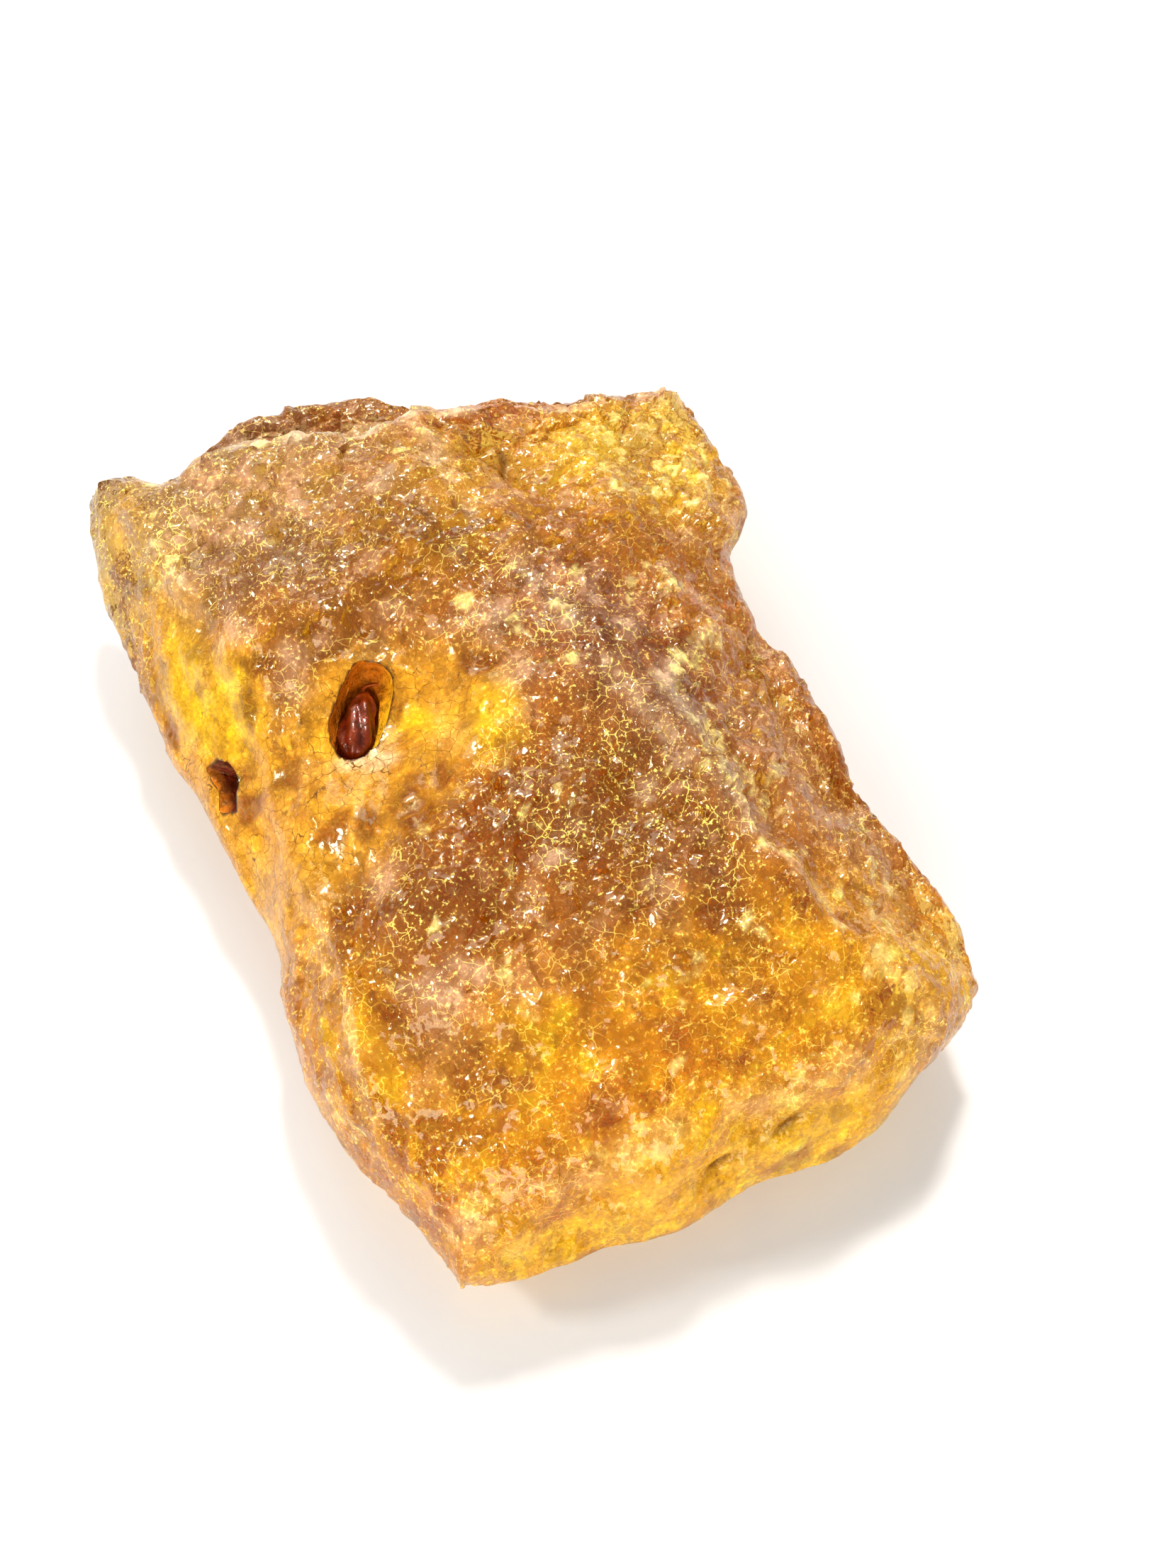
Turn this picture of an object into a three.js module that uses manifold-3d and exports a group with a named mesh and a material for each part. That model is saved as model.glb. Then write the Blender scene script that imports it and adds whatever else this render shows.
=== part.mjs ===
// Raw copal: an irregular slab of hardened tree resin, broken at its edges, with two open pits.
// A dark husk lies loose in the larger pit, and the smaller pit is a bare notch in the left slope.
// Millimetres, +Z up, length along Y. The origin is the middle of the outline's box, on the
// surface that the flat patch of the underside rests on.
import * as THREE from "three";
import { mergeVertices } from "three/addons/utils/BufferGeometryUtils.js";
import Module from "manifold-3d";

// The rim is the widest line round the slab, in four runs of [x, y, z] knots. Each run starts at
// the corner where the one before it ends.
const BACK_LEFT = [-13.9, 21.2, 6.0];
const BACK_RIGHT = [14.5, 16.4, 6.2];
const FRONT_RIGHT = [13.8, -17.0, 4.5];
const FRONT_LEFT = [-11.4, -20.0, 3.0];
const BACK = [
  BACK_LEFT, [-12.0, 21.1, 6.9], [-10.1, 20.3, 7.0], [-7.8, 21.3, 7.2], [-4.0, 21.3, 7.5],
  [0.1, 20.7, 7.8], [2.2, 19.0, 7.8], [5.5, 17.8, 7.5], [9.4, 17.1, 7.0], BACK_RIGHT,
];
const RIGHT = [
  BACK_RIGHT, [14.6, 14.6, 6.0], [14.9, 12.2, 5.8], [14.8, 9.4, 5.5], [13.9, 7.7, 5.5],
  [12.8, 6.6, 5.5], [12.4, 3.6, 5.5], [13.2, 0.2, 5.5], [13.1, -2.8, 5.5], [13.0, -6.4, 5.5],
  [13.8, -10.8, 5.2], [14.3, -14.1, 5.0], FRONT_RIGHT,
];
const FRONT = [
  FRONT_RIGHT, [12.5, -18.2, 4.2], [8.9, -19.8, 3.6], [6.5, -20.9, 3.2], [4.1, -21.1, 3.0],
  [1.2, -20.8, 3.0], [-2.4, -21.4, 3.0], [-5.4, -20.9, 3.0], [-8.3, -20.8, 3.0], FRONT_LEFT,
];
const LEFT = [
  FRONT_LEFT, [-11.9, -17.6, 3.2], [-13.0, -14.8, 3.4], [-14.2, -10.5, 3.6], [-14.0, -6.1, 3.8],
  [-13.4, -3.3, 4.0], [-13.8, 0.2, 4.0], [-14.1, 4.2, 4.0], [-14.7, 7.3, 4.0],
  [-14.9, 12.1, 4.2], [-14.9, 17.4, 4.8], BACK_LEFT,
];

// The top is the lowest of these sloping facets at each place, blended where they meet.
// Each is a height z at a point (x, y), and its rise per millimetre along X and along Y.
// A facet that ends part of the way back climbs steeply past its last y.
const FACETS = [
  { name: "crown", at: [-6, 14, 10.6], rise: [0.09, -0.08] },
  { name: "back right", at: [8, 11, 9.2], rise: [-0.33, -0.07] },
  { name: "middle", at: [0, -5, 10.9], rise: [0.06, 0.03] },
  { name: "front apron", at: [0, -14, 9.6], rise: [0.04, 0.31] },
  { name: "right slope", at: [6.2, -5, 11.0], rise: [-0.8, -0.19], last: 0, climb: 1.0 },
  { name: "left slope", at: [-13.0, 8, 7.6], rise: [1.5, -0.05], last: 10, climb: 0.34 },
  { name: "front bevel", at: [0, -19.6, 6.9], rise: [0.05, 1.5] },
  { name: "back bevel", at: [-4, 19.8, 9.8], rise: [-0.1, -1.7] },
  { name: "back right bevel", at: [8.3, 16.6, 8.3], rise: [-0.33, -1.56] },
];
const FACET_BLEND = 0.22; // radius scale of the rounding where facets meet

// Shallow hollows (and swells, with a negative depth) in the top: centre, half length and half
// width, turn of the length from +X in degrees, and depth.
const HOLLOWS = [
  { at: [-8.6, 1.4], half: [8.4, 4.8], turn: 26, depth: 1.5 },
  { at: [-12.8, 3.0], half: [3.2, 5.4], turn: 0, depth: 1.0 },
  { at: [-5.6, -5.4], half: [3.6, 2.2], turn: 24, depth: -0.55 },
  { at: [3.4, -6.8], half: [5.6, 1.7], turn: -72, depth: 0.7 },
  { at: [12.2, 4.0], half: [3.4, 2.6], turn: 80, depth: 0.6 },
  { at: [5.2, 13.6], half: [3.0, 1.6], turn: 70, depth: 0.45 },
  { at: [2.2, 8.4], half: [2.2, 4.6], turn: -25, depth: 0.5 },
  { at: [-10.4, 19.6], half: [2.4, 1.5], turn: 60, depth: 0.4 },
  { at: [-10.5, -11.5], half: [2.6, 5.5], turn: 0, depth: 0.6 },
  { at: [-5.5, 17.0], half: [3.4, 2.4], turn: 0, depth: -0.4 },
];

// The underside is flat at z 0 in the middle and climbs past each of these lines:
// where the climb starts, along which direction, and its slope.
const FLAT_PATCH = [
  { from: 7.6, along: [-1, 0.1], slope: 0.36 },
  { from: 7.2, along: [1, 0.15], slope: 0.42 },
  { from: 12.8, along: [0.1, -1], slope: 0.3 },
  { from: 11.2, along: [-0.15, 1], slope: 0.5 },
  { from: 10.6, along: [0.75, -0.66], slope: 0.5 },
  { from: 10.4, along: [-0.6, 0.8], slope: 0.32 },
];
const UNDER_BLEND = 0.5;
const LIP = 1.2; // least height of the top over the rim, and of the rim over the underside

// How fast the top and the underside close on the rim: a higher power is a tighter edge.
const EDGE_POWER_X = 11;
const EDGE_POWER_Y = 15;
const TOP_ROUND = 0.5;
const UNDER_ROUND = 0.45;

// Lumps: a sum of waves, each shorter than the last, that push the surface in and out.
const WAVE_COUNT = 10;
const LONGEST_WAVE = 11;
const WAVE_SHRINK = 0.86;
const WAVE_TURN = 2.4; // radians from one wave's direction to the next
const LUMP_SHARE = 0.016; // a wave's height, as a share of its length
const LUMPS_FADE_BELOW = 1.0; // lumps fade out under this height, so that the flat patch stays flat
const SIDEWAYS_AT_RIM = 0.25; // share of a lump's push that counts sideways at the rim

// Moves everything so that the origin is at the middle of the outline's box.
const CENTRING = [0.061, -0.087, 0];

const CELLS_ACROSS = 36;
const CELLS_ALONG = 50;
const CROWDING = 0.72; // 0 spreads the cells evenly, nearer 1 crowds them at the rim

// The larger pit is two overlapping hollows, the deeper of which holds the husk. The turn is in
// degrees from +X to the hollow's length.
const DEEP_LOBE = { at: [-6.4, 3.7], half: [2.6, 1.4, 2.25], turn: 62 };
const SHALLOW_LOBE = { at: [-5.9, 4.1], half: [2.7, 1.4, 1.0], turn: 54 };
// The smaller pit is an angular notch in the left slope: flat walls run from the outline down to
// one deepest point. The outline is in millimetres along two axes that lie in the slope.
const NOTCH = {
  at: [-13.1, 4.2, 6.1],
  across: [0.605, -0.577, 0.555],
  along: [0.325, 0.766, 0.564],
  outline: [
    [-1.15, 0.76], [-0.38, 1.21], [0.17, 1.14], [0.63, 0.76], [0.95, 0.19],
    [0.74, -0.36], [0.72, -1.29], [0.22, -1.41], [-0.33, -1.19], [-0.67, -0.05],
  ],
  deepest: [0.44, 0.12],
  depth: 1.4,
  reach: 0.6, // how far the cutting tool stands out of the slope
};
const HUSK = { half: [1.85, 0.78, 0.6], gap: 0.5, grooves: 7, groove: 0.06 };
const PIT_SEGMENTS = [22, 14];
const HUSK_SEGMENTS = [28, 14];

const wasm = await Module();
wasm.setup();

const radians = (degrees) => THREE.MathUtils.degToRad(degrees);

// A smooth curve through the knots, as a function from 0 to 1 of the share of its length.
function run(knots) {
  const curve = new THREE.CatmullRomCurve3(knots.map((k) => new THREE.Vector3(...k)));
  curve.curveType = "centripetal";
  curve.arcLengthDivisions = 400;
  return (share) => curve.getPointAt(THREE.MathUtils.clamp(share, 0, 1));
}

// The lowest of several heights, rounded over where two of them are close.
function softLowest(heights, blend) {
  const least = Math.min(...heights);
  const sum = heights.reduce((s, h) => s + Math.exp((least - h) / blend), 0);
  return least - blend * Math.log(sum);
}

// 1 at a hollow's centre and near 0 outside its half length and half width, with a flat floor.
function hollowShare({ at, half, turn }, x, y) {
  const c = Math.cos(radians(turn));
  const s = Math.sin(radians(turn));
  const along = (c * (x - at[0]) + s * (y - at[1])) / half[0];
  const across = (c * (y - at[1]) - s * (x - at[0])) / half[1];
  return Math.exp(-((along * along + across * across) ** 1.6));
}

function topHeight(x, y) {
  const heights = FACETS.map(({ at, rise, last, climb }) =>
    at[2] + rise[0] * (x - at[0]) + rise[1] * (y - at[1])
    + (climb ? climb * Math.max(0, y - last) : 0));
  const dips = HOLLOWS.reduce((sum, h) => sum + h.depth * hollowShare(h, x, y), 0);
  return softLowest(heights, FACET_BLEND) - dips;
}

function underHeight(x, y) {
  const climbs = FLAT_PATCH.map(({ from, along, slope }) =>
    -slope * (along[0] * x + along[1] * y - from));
  return Math.max(0, -softLowest(climbs, UNDER_BLEND));
}

// How far the lumps push a point in or out.
function lump(x, y, z) {
  let push = 0;
  for (let i = 0; i < WAVE_COUNT; i++) {
    const length = LONGEST_WAVE * WAVE_SHRINK ** i;
    const turn = WAVE_TURN * i;
    const ahead = x * Math.cos(turn) + y * Math.sin(turn) + z * Math.cos(1.3 * turn);
    push += LUMP_SHARE * length * Math.sin((2 * Math.PI * ahead) / length + 1.7 * i * i);
  }
  return push * THREE.MathUtils.smoothstep(z, 0, LUMPS_FADE_BELOW);
}

// The slab's two sheets, top and underside, on one grid stretched between the four rim runs.
function slabGeometry() {
  const [back, right, front, left] = [BACK, RIGHT, FRONT, LEFT].map(run);
  const corners = [FRONT_LEFT, FRONT_RIGHT, BACK_LEFT, BACK_RIGHT];
  const [c00, c10, c01, c11] = corners.map((c) => new THREE.Vector3(...c));
  // A point of the sheet spanned by the rim, for u across and v along from the front left.
  const spanned = (u, v) => new THREE.Vector3()
    .addScaledVector(front(1 - u), 1 - v)
    .addScaledVector(back(u), v)
    .addScaledVector(left(v), 1 - u)
    .addScaledVector(right(1 - v), u)
    .addScaledVector(c00, -(1 - u) * (1 - v))
    .addScaledVector(c10, -u * (1 - v))
    .addScaledVector(c01, -(1 - u) * v)
    .addScaledVector(c11, -u * v);
  const crowded = (t) => t - (CROWDING * Math.sin(2 * Math.PI * t)) / (2 * Math.PI);
  const positions = [];
  const insets = []; // 0 at the rim and 1 well inside it
  const faces = [];
  for (const isTop of [true, false]) {
    const first = positions.length / 3;
    for (let j = 0; j <= CELLS_ALONG; j++) {
      for (let i = 0; i <= CELLS_ACROSS; i++) {
        const u = crowded(i / CELLS_ACROSS);
        const v = crowded(j / CELLS_ALONG);
        const p = spanned(u, v);
        const closing = 1 - Math.max(Math.abs(2 * u - 1) ** EDGE_POWER_X,
          Math.abs(2 * v - 1) ** EDGE_POWER_Y);
        const height = isTop
          ? Math.max(topHeight(p.x, p.y), p.z + LIP)
          : Math.min(underHeight(p.x, p.y), p.z - LIP);
        p.z += (height - p.z) * closing ** (isTop ? TOP_ROUND : UNDER_ROUND);
        positions.push(p.x, p.y, p.z);
        insets.push(closing);
      }
    }
    for (let j = 0; j < CELLS_ALONG; j++) {
      for (let i = 0; i < CELLS_ACROSS; i++) {
        const a = first + j * (CELLS_ACROSS + 1) + i;
        const [b, c, d] = [a + 1, a + CELLS_ACROSS + 2, a + CELLS_ACROSS + 1];
        faces.push(...(isTop ? [a, b, c, a, c, d] : [a, c, b, a, d, c]));
      }
    }
  }
  const sheet = new THREE.BufferGeometry();
  sheet.setAttribute("position", new THREE.Float32BufferAttribute(positions, 3));
  sheet.setAttribute("inset", new THREE.Float32BufferAttribute(insets, 1));
  sheet.setIndex(faces);
  const slab = mergeVertices(sheet, 1e-3);
  slab.computeVertexNormals();
  const at = slab.getAttribute("position");
  const normal = slab.getAttribute("normal");
  const inset = slab.getAttribute("inset");
  for (let i = 0; i < at.count; i++) {
    const push = lump(at.getX(i), at.getY(i), at.getZ(i));
    const sideways = push * THREE.MathUtils.lerp(SIDEWAYS_AT_RIM, 1, inset.getX(i));
    at.setX(i, at.getX(i) + sideways * normal.getX(i));
    at.setY(i, at.getY(i) + sideways * normal.getY(i));
    at.setZ(i, Math.max(0, at.getZ(i) + push * normal.getZ(i)));
  }
  return slab;
}

// A closed geometry as a solid, and back again.
function solidOf(geometry) {
  const bare = geometry.clone();
  bare.deleteAttribute("normal");
  bare.deleteAttribute("uv");
  const merged = mergeVertices(bare, 1e-4);
  return new wasm.Manifold(new wasm.Mesh({
    numProp: 3,
    vertProperties: new Float32Array(merged.getAttribute("position").array),
    triVerts: new Uint32Array(merged.index.array),
  }));
}

function geometryOf(solid) {
  const { vertProperties, triVerts } = solid.getMesh();
  const geometry = new THREE.BufferGeometry();
  geometry.setAttribute("position", new THREE.BufferAttribute(vertProperties, 3));
  geometry.setIndex(new THREE.BufferAttribute(triVerts, 1));
  geometry.computeVertexNormals();
  return geometry;
}

// The height of the finished top, lumps and all, away from the rim.
function surfaceHeight(x, y) {
  const z = topHeight(x, y);
  return z + lump(x, y, z);
}

// An ellipsoid hollow whose centre lies on the top surface.
function lobeTool({ at, half, turn }) {
  const tool = new THREE.SphereGeometry(1, ...PIT_SEGMENTS);
  tool.rotateX(Math.PI / 2);
  tool.scale(...half);
  tool.rotateZ(radians(turn));
  tool.translate(...at, surfaceHeight(...at));
  return solidOf(tool);
}

// The notch as a closed pyramid, its open end carried on past the slope.
function notchTool() {
  const [across, along] = [NOTCH.across, NOTCH.along].map((v) => new THREE.Vector3(...v));
  const outwards = across.clone().cross(along).normalize();
  const point = ([a, b], height) => new THREE.Vector3(...NOTCH.at)
    .addScaledVector(across, a)
    .addScaledVector(along, b)
    .addScaledVector(outwards, height);
  const flare = 1 + NOTCH.reach / NOTCH.depth;
  const widened = ([a, b]) => {
    const [da, db] = NOTCH.deepest;
    return [da + flare * (a - da), db + flare * (b - db)];
  };
  const ring = NOTCH.outline.map((p) => point(widened(p), NOTCH.reach));
  const bottom = point(NOTCH.deepest, -NOTCH.depth);
  const middle = point(NOTCH.deepest, NOTCH.reach);
  const corners = ring.flatMap((p, i) => {
    const next = ring[(i + 1) % ring.length];
    return [p, next, bottom, next, p, middle];
  });
  return solidOf(new THREE.BufferGeometry().setFromPoints(corners));
}

function copal() {
  const solid = solidOf(slabGeometry())
    .subtract(lobeTool(DEEP_LOBE))
    .subtract(lobeTool(SHALLOW_LOBE))
    .subtract(notchTool());
  const resin = new THREE.MeshStandardMaterial({
    color: 0xd88a1e, roughness: 0.35, metalness: 0, transparent: true, opacity: 0.85,
  });
  const mesh = new THREE.Mesh(geometryOf(solid), resin);
  mesh.name = "copal";
  return mesh;
}

// The husk: a blunt spindle with grooves along it, lying on the floor of the deeper lobe.
function husk() {
  const spindle = new THREE.SphereGeometry(1, ...HUSK_SEGMENTS);
  spindle.rotateZ(Math.PI / 2);
  const at = spindle.getAttribute("position");
  for (let i = 0; i < at.count; i++) {
    const around = Math.atan2(at.getZ(i), at.getY(i));
    const waist = Math.hypot(at.getY(i), at.getZ(i));
    const width = 1 - HUSK.groove * waist * (1 - Math.cos(HUSK.grooves * around));
    at.setXYZ(i, at.getX(i), at.getY(i) * width, at.getZ(i) * width);
  }
  spindle.scale(...HUSK.half);
  const mesh = new THREE.Mesh(geometryOf(solidOf(spindle)), new THREE.MeshStandardMaterial({
    color: 0x5a1408, roughness: 0.3, metalness: 0,
  }));
  const floor = surfaceHeight(...DEEP_LOBE.at) - DEEP_LOBE.half[2];
  mesh.position.set(...DEEP_LOBE.at, floor + HUSK.gap + HUSK.half[2]);
  mesh.rotation.z = radians(DEEP_LOBE.turn);
  mesh.name = "husk";
  return mesh;
}

const part = new THREE.Group();
part.add(copal(), husk());
part.position.set(...CENTRING);
export default part;
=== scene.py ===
"""Raw copal, dressed for rendering.

A slab of young tree resin with a crazed skin, broken edges and two open pits. A dark husk lies in
the larger pit. Shapes are worked out in the part's own frame (+Z up, +Y along the slab, origin at
the middle of the outline's box on the resting surface). Lengths are in millimetres, apart from the
studio's, and are put into Blender in metres. Colours are linear.
"""

import logging
import math
from dataclasses import dataclass, replace
from enum import Enum

import bpy
import numpy as np
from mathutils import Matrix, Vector


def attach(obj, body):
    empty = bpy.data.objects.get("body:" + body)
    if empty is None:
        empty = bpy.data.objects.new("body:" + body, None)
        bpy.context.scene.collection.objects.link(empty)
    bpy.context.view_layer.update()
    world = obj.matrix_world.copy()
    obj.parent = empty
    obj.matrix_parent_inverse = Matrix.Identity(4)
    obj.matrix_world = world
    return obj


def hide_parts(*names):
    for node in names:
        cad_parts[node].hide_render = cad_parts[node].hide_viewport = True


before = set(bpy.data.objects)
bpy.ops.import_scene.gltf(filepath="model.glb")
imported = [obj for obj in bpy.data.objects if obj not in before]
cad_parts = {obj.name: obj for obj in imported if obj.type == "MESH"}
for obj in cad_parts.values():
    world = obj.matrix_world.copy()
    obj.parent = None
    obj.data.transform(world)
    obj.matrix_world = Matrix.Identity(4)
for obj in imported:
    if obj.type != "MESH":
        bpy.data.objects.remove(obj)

MM = 0.001  # metres in a millimetre
BODY = "root"
CENTRING = np.array([0.061, -0.087, 0.0])  # mm, puts the origin at the middle of the outline's box

TINY = 1e-12  # keeps a division from being by 0

log = logging.getLogger("copal")

Array = np.ndarray
Point = tuple[float, float, float]
Plan = tuple[float, float]
Rgb = tuple[float, float, float]


# Curves, noise and cells
# -----------------------


def smoothstep(low: float, high: float, value: Array) -> Array:
    """3t² - 2t³, where t from 0 to 1 is how far the value has gone from low to high."""
    share = np.clip((value - low) / (high - low), 0.0, 1.0)
    return share * share * (3.0 - 2.0 * share)


def curve_points(knots: Array, closed: bool = False, steps: int = 24) -> Array:
    """A centripetal Catmull-Rom curve through the knots.

    Each span is a cubic Hermite curve. Its end slopes come from the neighbouring knots, with the
    square root of each knot distance as the spacing of the parameter.

    Args:
        knots: Points to pass through, one per row.
        closed: Whether the last knot runs on into the first.
        steps: Samples in each span.

    Returns:
        The samples in order, one per row. An open curve includes its last knot.
    """
    if closed:
        padded = np.vstack([knots[-1:], knots, knots[:2]])
    else:
        padded = np.vstack([2 * knots[:1] - knots[1:2], knots, 2 * knots[-1:] - knots[-2:-1]])
    before, start, end, after = padded[:-3], padded[1:-2], padded[2:-1], padded[3:]
    gap_0 = np.sqrt(np.linalg.norm(start - before, axis=1))[:, None]
    gap_1 = np.sqrt(np.linalg.norm(end - start, axis=1))[:, None]
    gap_2 = np.sqrt(np.linalg.norm(after - end, axis=1))[:, None]
    slope_0 = (start - before) / gap_0 - (end - before) / (gap_0 + gap_1) + (end - start) / gap_1
    slope_1 = (end - start) / gap_1 - (after - start) / (gap_1 + gap_2) + (after - end) / gap_2
    slope_0, slope_1 = slope_0 * gap_1, slope_1 * gap_1
    t = (np.arange(steps) / steps)[None, :, None]
    square, cube = t * t, t * t * t
    start, end, slope_0, slope_1 = (a[:, None, :] for a in (start, end, slope_0, slope_1))
    samples = (
        (2 * cube - 3 * square + 1) * start
        + (cube - 2 * square + t) * slope_0
        + (3 * square - 2 * cube) * end
        + (cube - square) * slope_1
    ).reshape(-1, knots.shape[1])
    return samples if closed else np.vstack([samples, knots[-1:]])


def at_shares(samples: Array, shares: Array) -> Array:
    """Points at given shares of a sampled curve's length, by straight interpolation.

    Args:
        samples: The curve's samples, one per row.
        shares: Shares of the length, from 0 to 1.

    Returns:
        One point per share.
    """
    lengths = np.concatenate([[0.0], np.cumsum(np.linalg.norm(np.diff(samples, axis=0), axis=1))])
    wanted = np.clip(shares, 0.0, 1.0) * lengths[-1]
    return np.stack([np.interp(wanted, lengths, samples[:, k]) for k in range(samples.shape[1])], -1)


def lattice_hash(cell: Array, seed: int) -> Array:
    """A repeatable number from 0 to 1 for each whole-numbered lattice point.

    Multiplies the three coordinates and the seed by large odd numbers, adds them, and mixes the
    bits by shifts and one more product.

    Args:
        cell: Whole-numbered coordinates in the last axis.
        seed: Picks one of many independent patterns.

    Returns:
        One number per lattice point.
    """
    x, y, z = (cell[..., k].astype(np.int64).astype(np.uint64) for k in range(3))
    with np.errstate(over="ignore"):
        mixed = x * np.uint64(0x9E3779B185EBCA87) + y * np.uint64(0xC2B2AE3D27D4EB4F)
        mixed = mixed + z * np.uint64(0x165667B19E3779F9)
        mixed = mixed + np.uint64(seed) * np.uint64(0x27D4EB2F165667C5)
        mixed = (mixed ^ (mixed >> np.uint64(29))) * np.uint64(0xBF58476D1CE4E5B9)
        mixed = mixed ^ (mixed >> np.uint64(32))
    return (mixed >> np.uint64(11)).astype(np.float64) / float(1 << 53)


OCTAVE_SHIFT = 17.3  # how far each octave of a noise is shifted over the last, in its own lattice


def smooth_noise(points: Array, size: float, seed: int, octaves: int = 1) -> Array:
    """Value noise from about -1 to 1.

    Blends the hashes of the eight lattice points round each point with 3t² - 2t³ weights. Each
    further octave has half the size and half the weight.

    Args:
        points: Points, one per row.
        size: Width of the largest blobs.
        seed: Picks the pattern.
        octaves: How many sizes to add up.

    Returns:
        One value per point.
    """
    total, weight, weights = np.zeros(len(points)), 1.0, 0.0
    for octave in range(octaves):
        scaled = points / (size / 2**octave) + OCTAVE_SHIFT * octave
        cell = np.floor(scaled)
        t = scaled - cell
        t = t * t * (3.0 - 2.0 * t)
        value = np.zeros(len(points))
        for corner in np.ndindex(2, 2, 2):
            share = np.prod(np.where(np.array(corner), t, 1.0 - t), axis=1)
            value += share * lattice_hash(cell + corner, seed + octave)
        total += weight * (2.0 * value - 1.0)
        weights += weight
        weight *= 0.5
    return total / weights


@dataclass(frozen=True)
class Ripple:
    """Smooth noise with a weight of its own."""

    weight: float  # what the noise is multiplied by
    size: float  # width of the largest blobs
    seed: int  # picks the pattern
    octaves: int = 2  # how many sizes are added up
    squeeze: float = 1.0  # what x is multiplied by first; under 1, the blobs are long in x

    def at(self, points: Array) -> Array:
        """The weight times the noise at the squeezed points."""
        return self.weight * smooth_noise(points * [self.squeeze, 1, 1], self.size, self.seed, self.octaves)


@dataclass(frozen=True)
class Oval:
    """An oval area in plan."""

    at: Plan  # centre
    half: Plan  # half length and half width
    turn: float = 0.0  # degrees from +X to the length

    def reach(self, x: Array, y: Array) -> Array:
        """How far each place is from the centre, where 1 is the oval's rim.

        It is the root of (along / half length)² + (across / half width)².

        Args:
            x: Places across.
            y: Places along.

        Returns:
            The reach of each place.
        """
        c, s = math.cos(math.radians(self.turn)), math.sin(math.radians(self.turn))
        x, y = x - self.at[0], y - self.at[1]
        return np.hypot((c * x + s * y) / self.half[0], (c * y - s * x) / self.half[1])


@dataclass(frozen=True)
class CellSample:
    """What a point knows about the irregular cell that it lies in."""

    border: Array  # distance to the nearest side of the cell
    offset: Array  # vector from the cell's seed to the point
    key: Array  # three repeatable numbers from 0 to 1 for each cell


KEY_SEED, BEND_SEED = 20, 50  # added to a cell pattern's seed for its keys and its bend


@dataclass(frozen=True)
class Cells:
    """Irregular cells: a point belongs to the nearest of a jittered lattice of seeds."""

    size: float  # usual width of a cell
    seed: int  # picks the pattern
    bend: float = 0.0  # how far a smooth noise of the cell's own size bends the sides

    def bent(self, points: Array) -> Array:
        """Points pushed about by a smooth noise in each direction, so that sides aren't straight."""
        pushes = [smooth_noise(points, self.size, self.seed + BEND_SEED + k, 2) for k in range(3)]
        return points + self.bend * np.stack(pushes, -1)

    def seeds(self, cell: Array) -> Array:
        """The jittered seed of each lattice cell, in lattice units."""
        return cell + np.stack([lattice_hash(cell, self.seed + k) for k in range(3)], -1)

    def sample(self, points: Array) -> CellSample:
        """Finds the cell of each point.

        The distance to a side is that to the plane halfway between the nearest seed and another
        seed, and the least such distance counts.

        Args:
            points: Points, one per row.

        Returns:
            The border distance, seed offset and key of each point's cell.
        """
        scaled = self.bent(points) / self.size
        home = np.floor(scaled)
        best = np.full(len(points), np.inf)
        nearest, owner = np.zeros_like(scaled), np.zeros_like(scaled)
        steps = [np.array(step) - 1.0 for step in np.ndindex(3, 3, 3)]
        for step in steps:
            cell = home + step
            seed = self.seeds(cell)
            distance = np.sum((seed - scaled) ** 2, axis=1)
            closer = distance < best
            best = np.where(closer, distance, best)
            nearest = np.where(closer[:, None], seed, nearest)
            owner = np.where(closer[:, None], cell, owner)
        border = np.full(len(points), np.inf)
        for step in steps:
            seed = self.seeds(home + step)
            apart = seed - nearest
            length = np.linalg.norm(apart, axis=1)
            other = length > TINY
            middle = (seed + nearest) / 2 - scaled
            reach = np.sum(middle * apart, axis=1) / np.where(other, length, 1.0)
            border = np.where(other, np.minimum(border, reach), border)
        key = np.stack([lattice_hash(owner, self.seed + KEY_SEED + k) for k in range(3)], -1)
        return CellSample(border * self.size, (scaled - nearest) * self.size, key)


# Meshes
# ------


@dataclass
class Surface:
    """A mesh in the making."""

    points: Array  # one per row
    triangles: Array  # three point numbers per row

    def normals(self) -> Array:
        """Unit normals at the points: the sum of the triangles' cross products, made length 1.

        Returns:
            One unit normal per point.
        """
        corner = self.points[self.triangles]
        cross = np.cross(corner[:, 1] - corner[:, 0], corner[:, 2] - corner[:, 0])
        total = np.zeros_like(self.points)
        for k in range(3):
            np.add.at(total, self.triangles[:, k], cross)
        return total / np.maximum(np.linalg.norm(total, axis=1), TINY)[:, None]

    def roughen(self, ripples: tuple[Ripple, ...], share: Array | float = 1.0) -> None:
        """Moves each point along its normal by its share of the sum of the ripples."""
        push = share * sum(ripple.at(self.points) for ripple in ripples)
        self.points += push[:, None] * self.normals()

    def to_object(self, name: str, attributes: dict[str, Array] | None = None) -> bpy.types.Object:
        """Puts the surface into Blender, in metres.

        Args:
            name: Name of the object and its mesh.
            attributes: Named values at the points, kept on the mesh for its material.

        Returns:
            The new object, linked to the scene.
        """
        mesh = bpy.data.meshes.new(name)
        mesh.from_pydata((self.points * MM).tolist(), [], self.triangles.tolist())
        for key, values in (attributes or {}).items():
            kind, field = ("FLOAT_VECTOR", "vector") if values.ndim == 2 else ("FLOAT", "value")
            layer = mesh.attributes.new(key, kind, "POINT")
            layer.data.foreach_set(field, values.astype(np.float32).reshape(-1))
        mesh.polygons.foreach_set("use_smooth", np.ones(len(mesh.polygons), bool))
        mesh.update()
        made = bpy.data.objects.new(name, mesh)
        bpy.context.scene.collection.objects.link(made)
        return made


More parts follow.
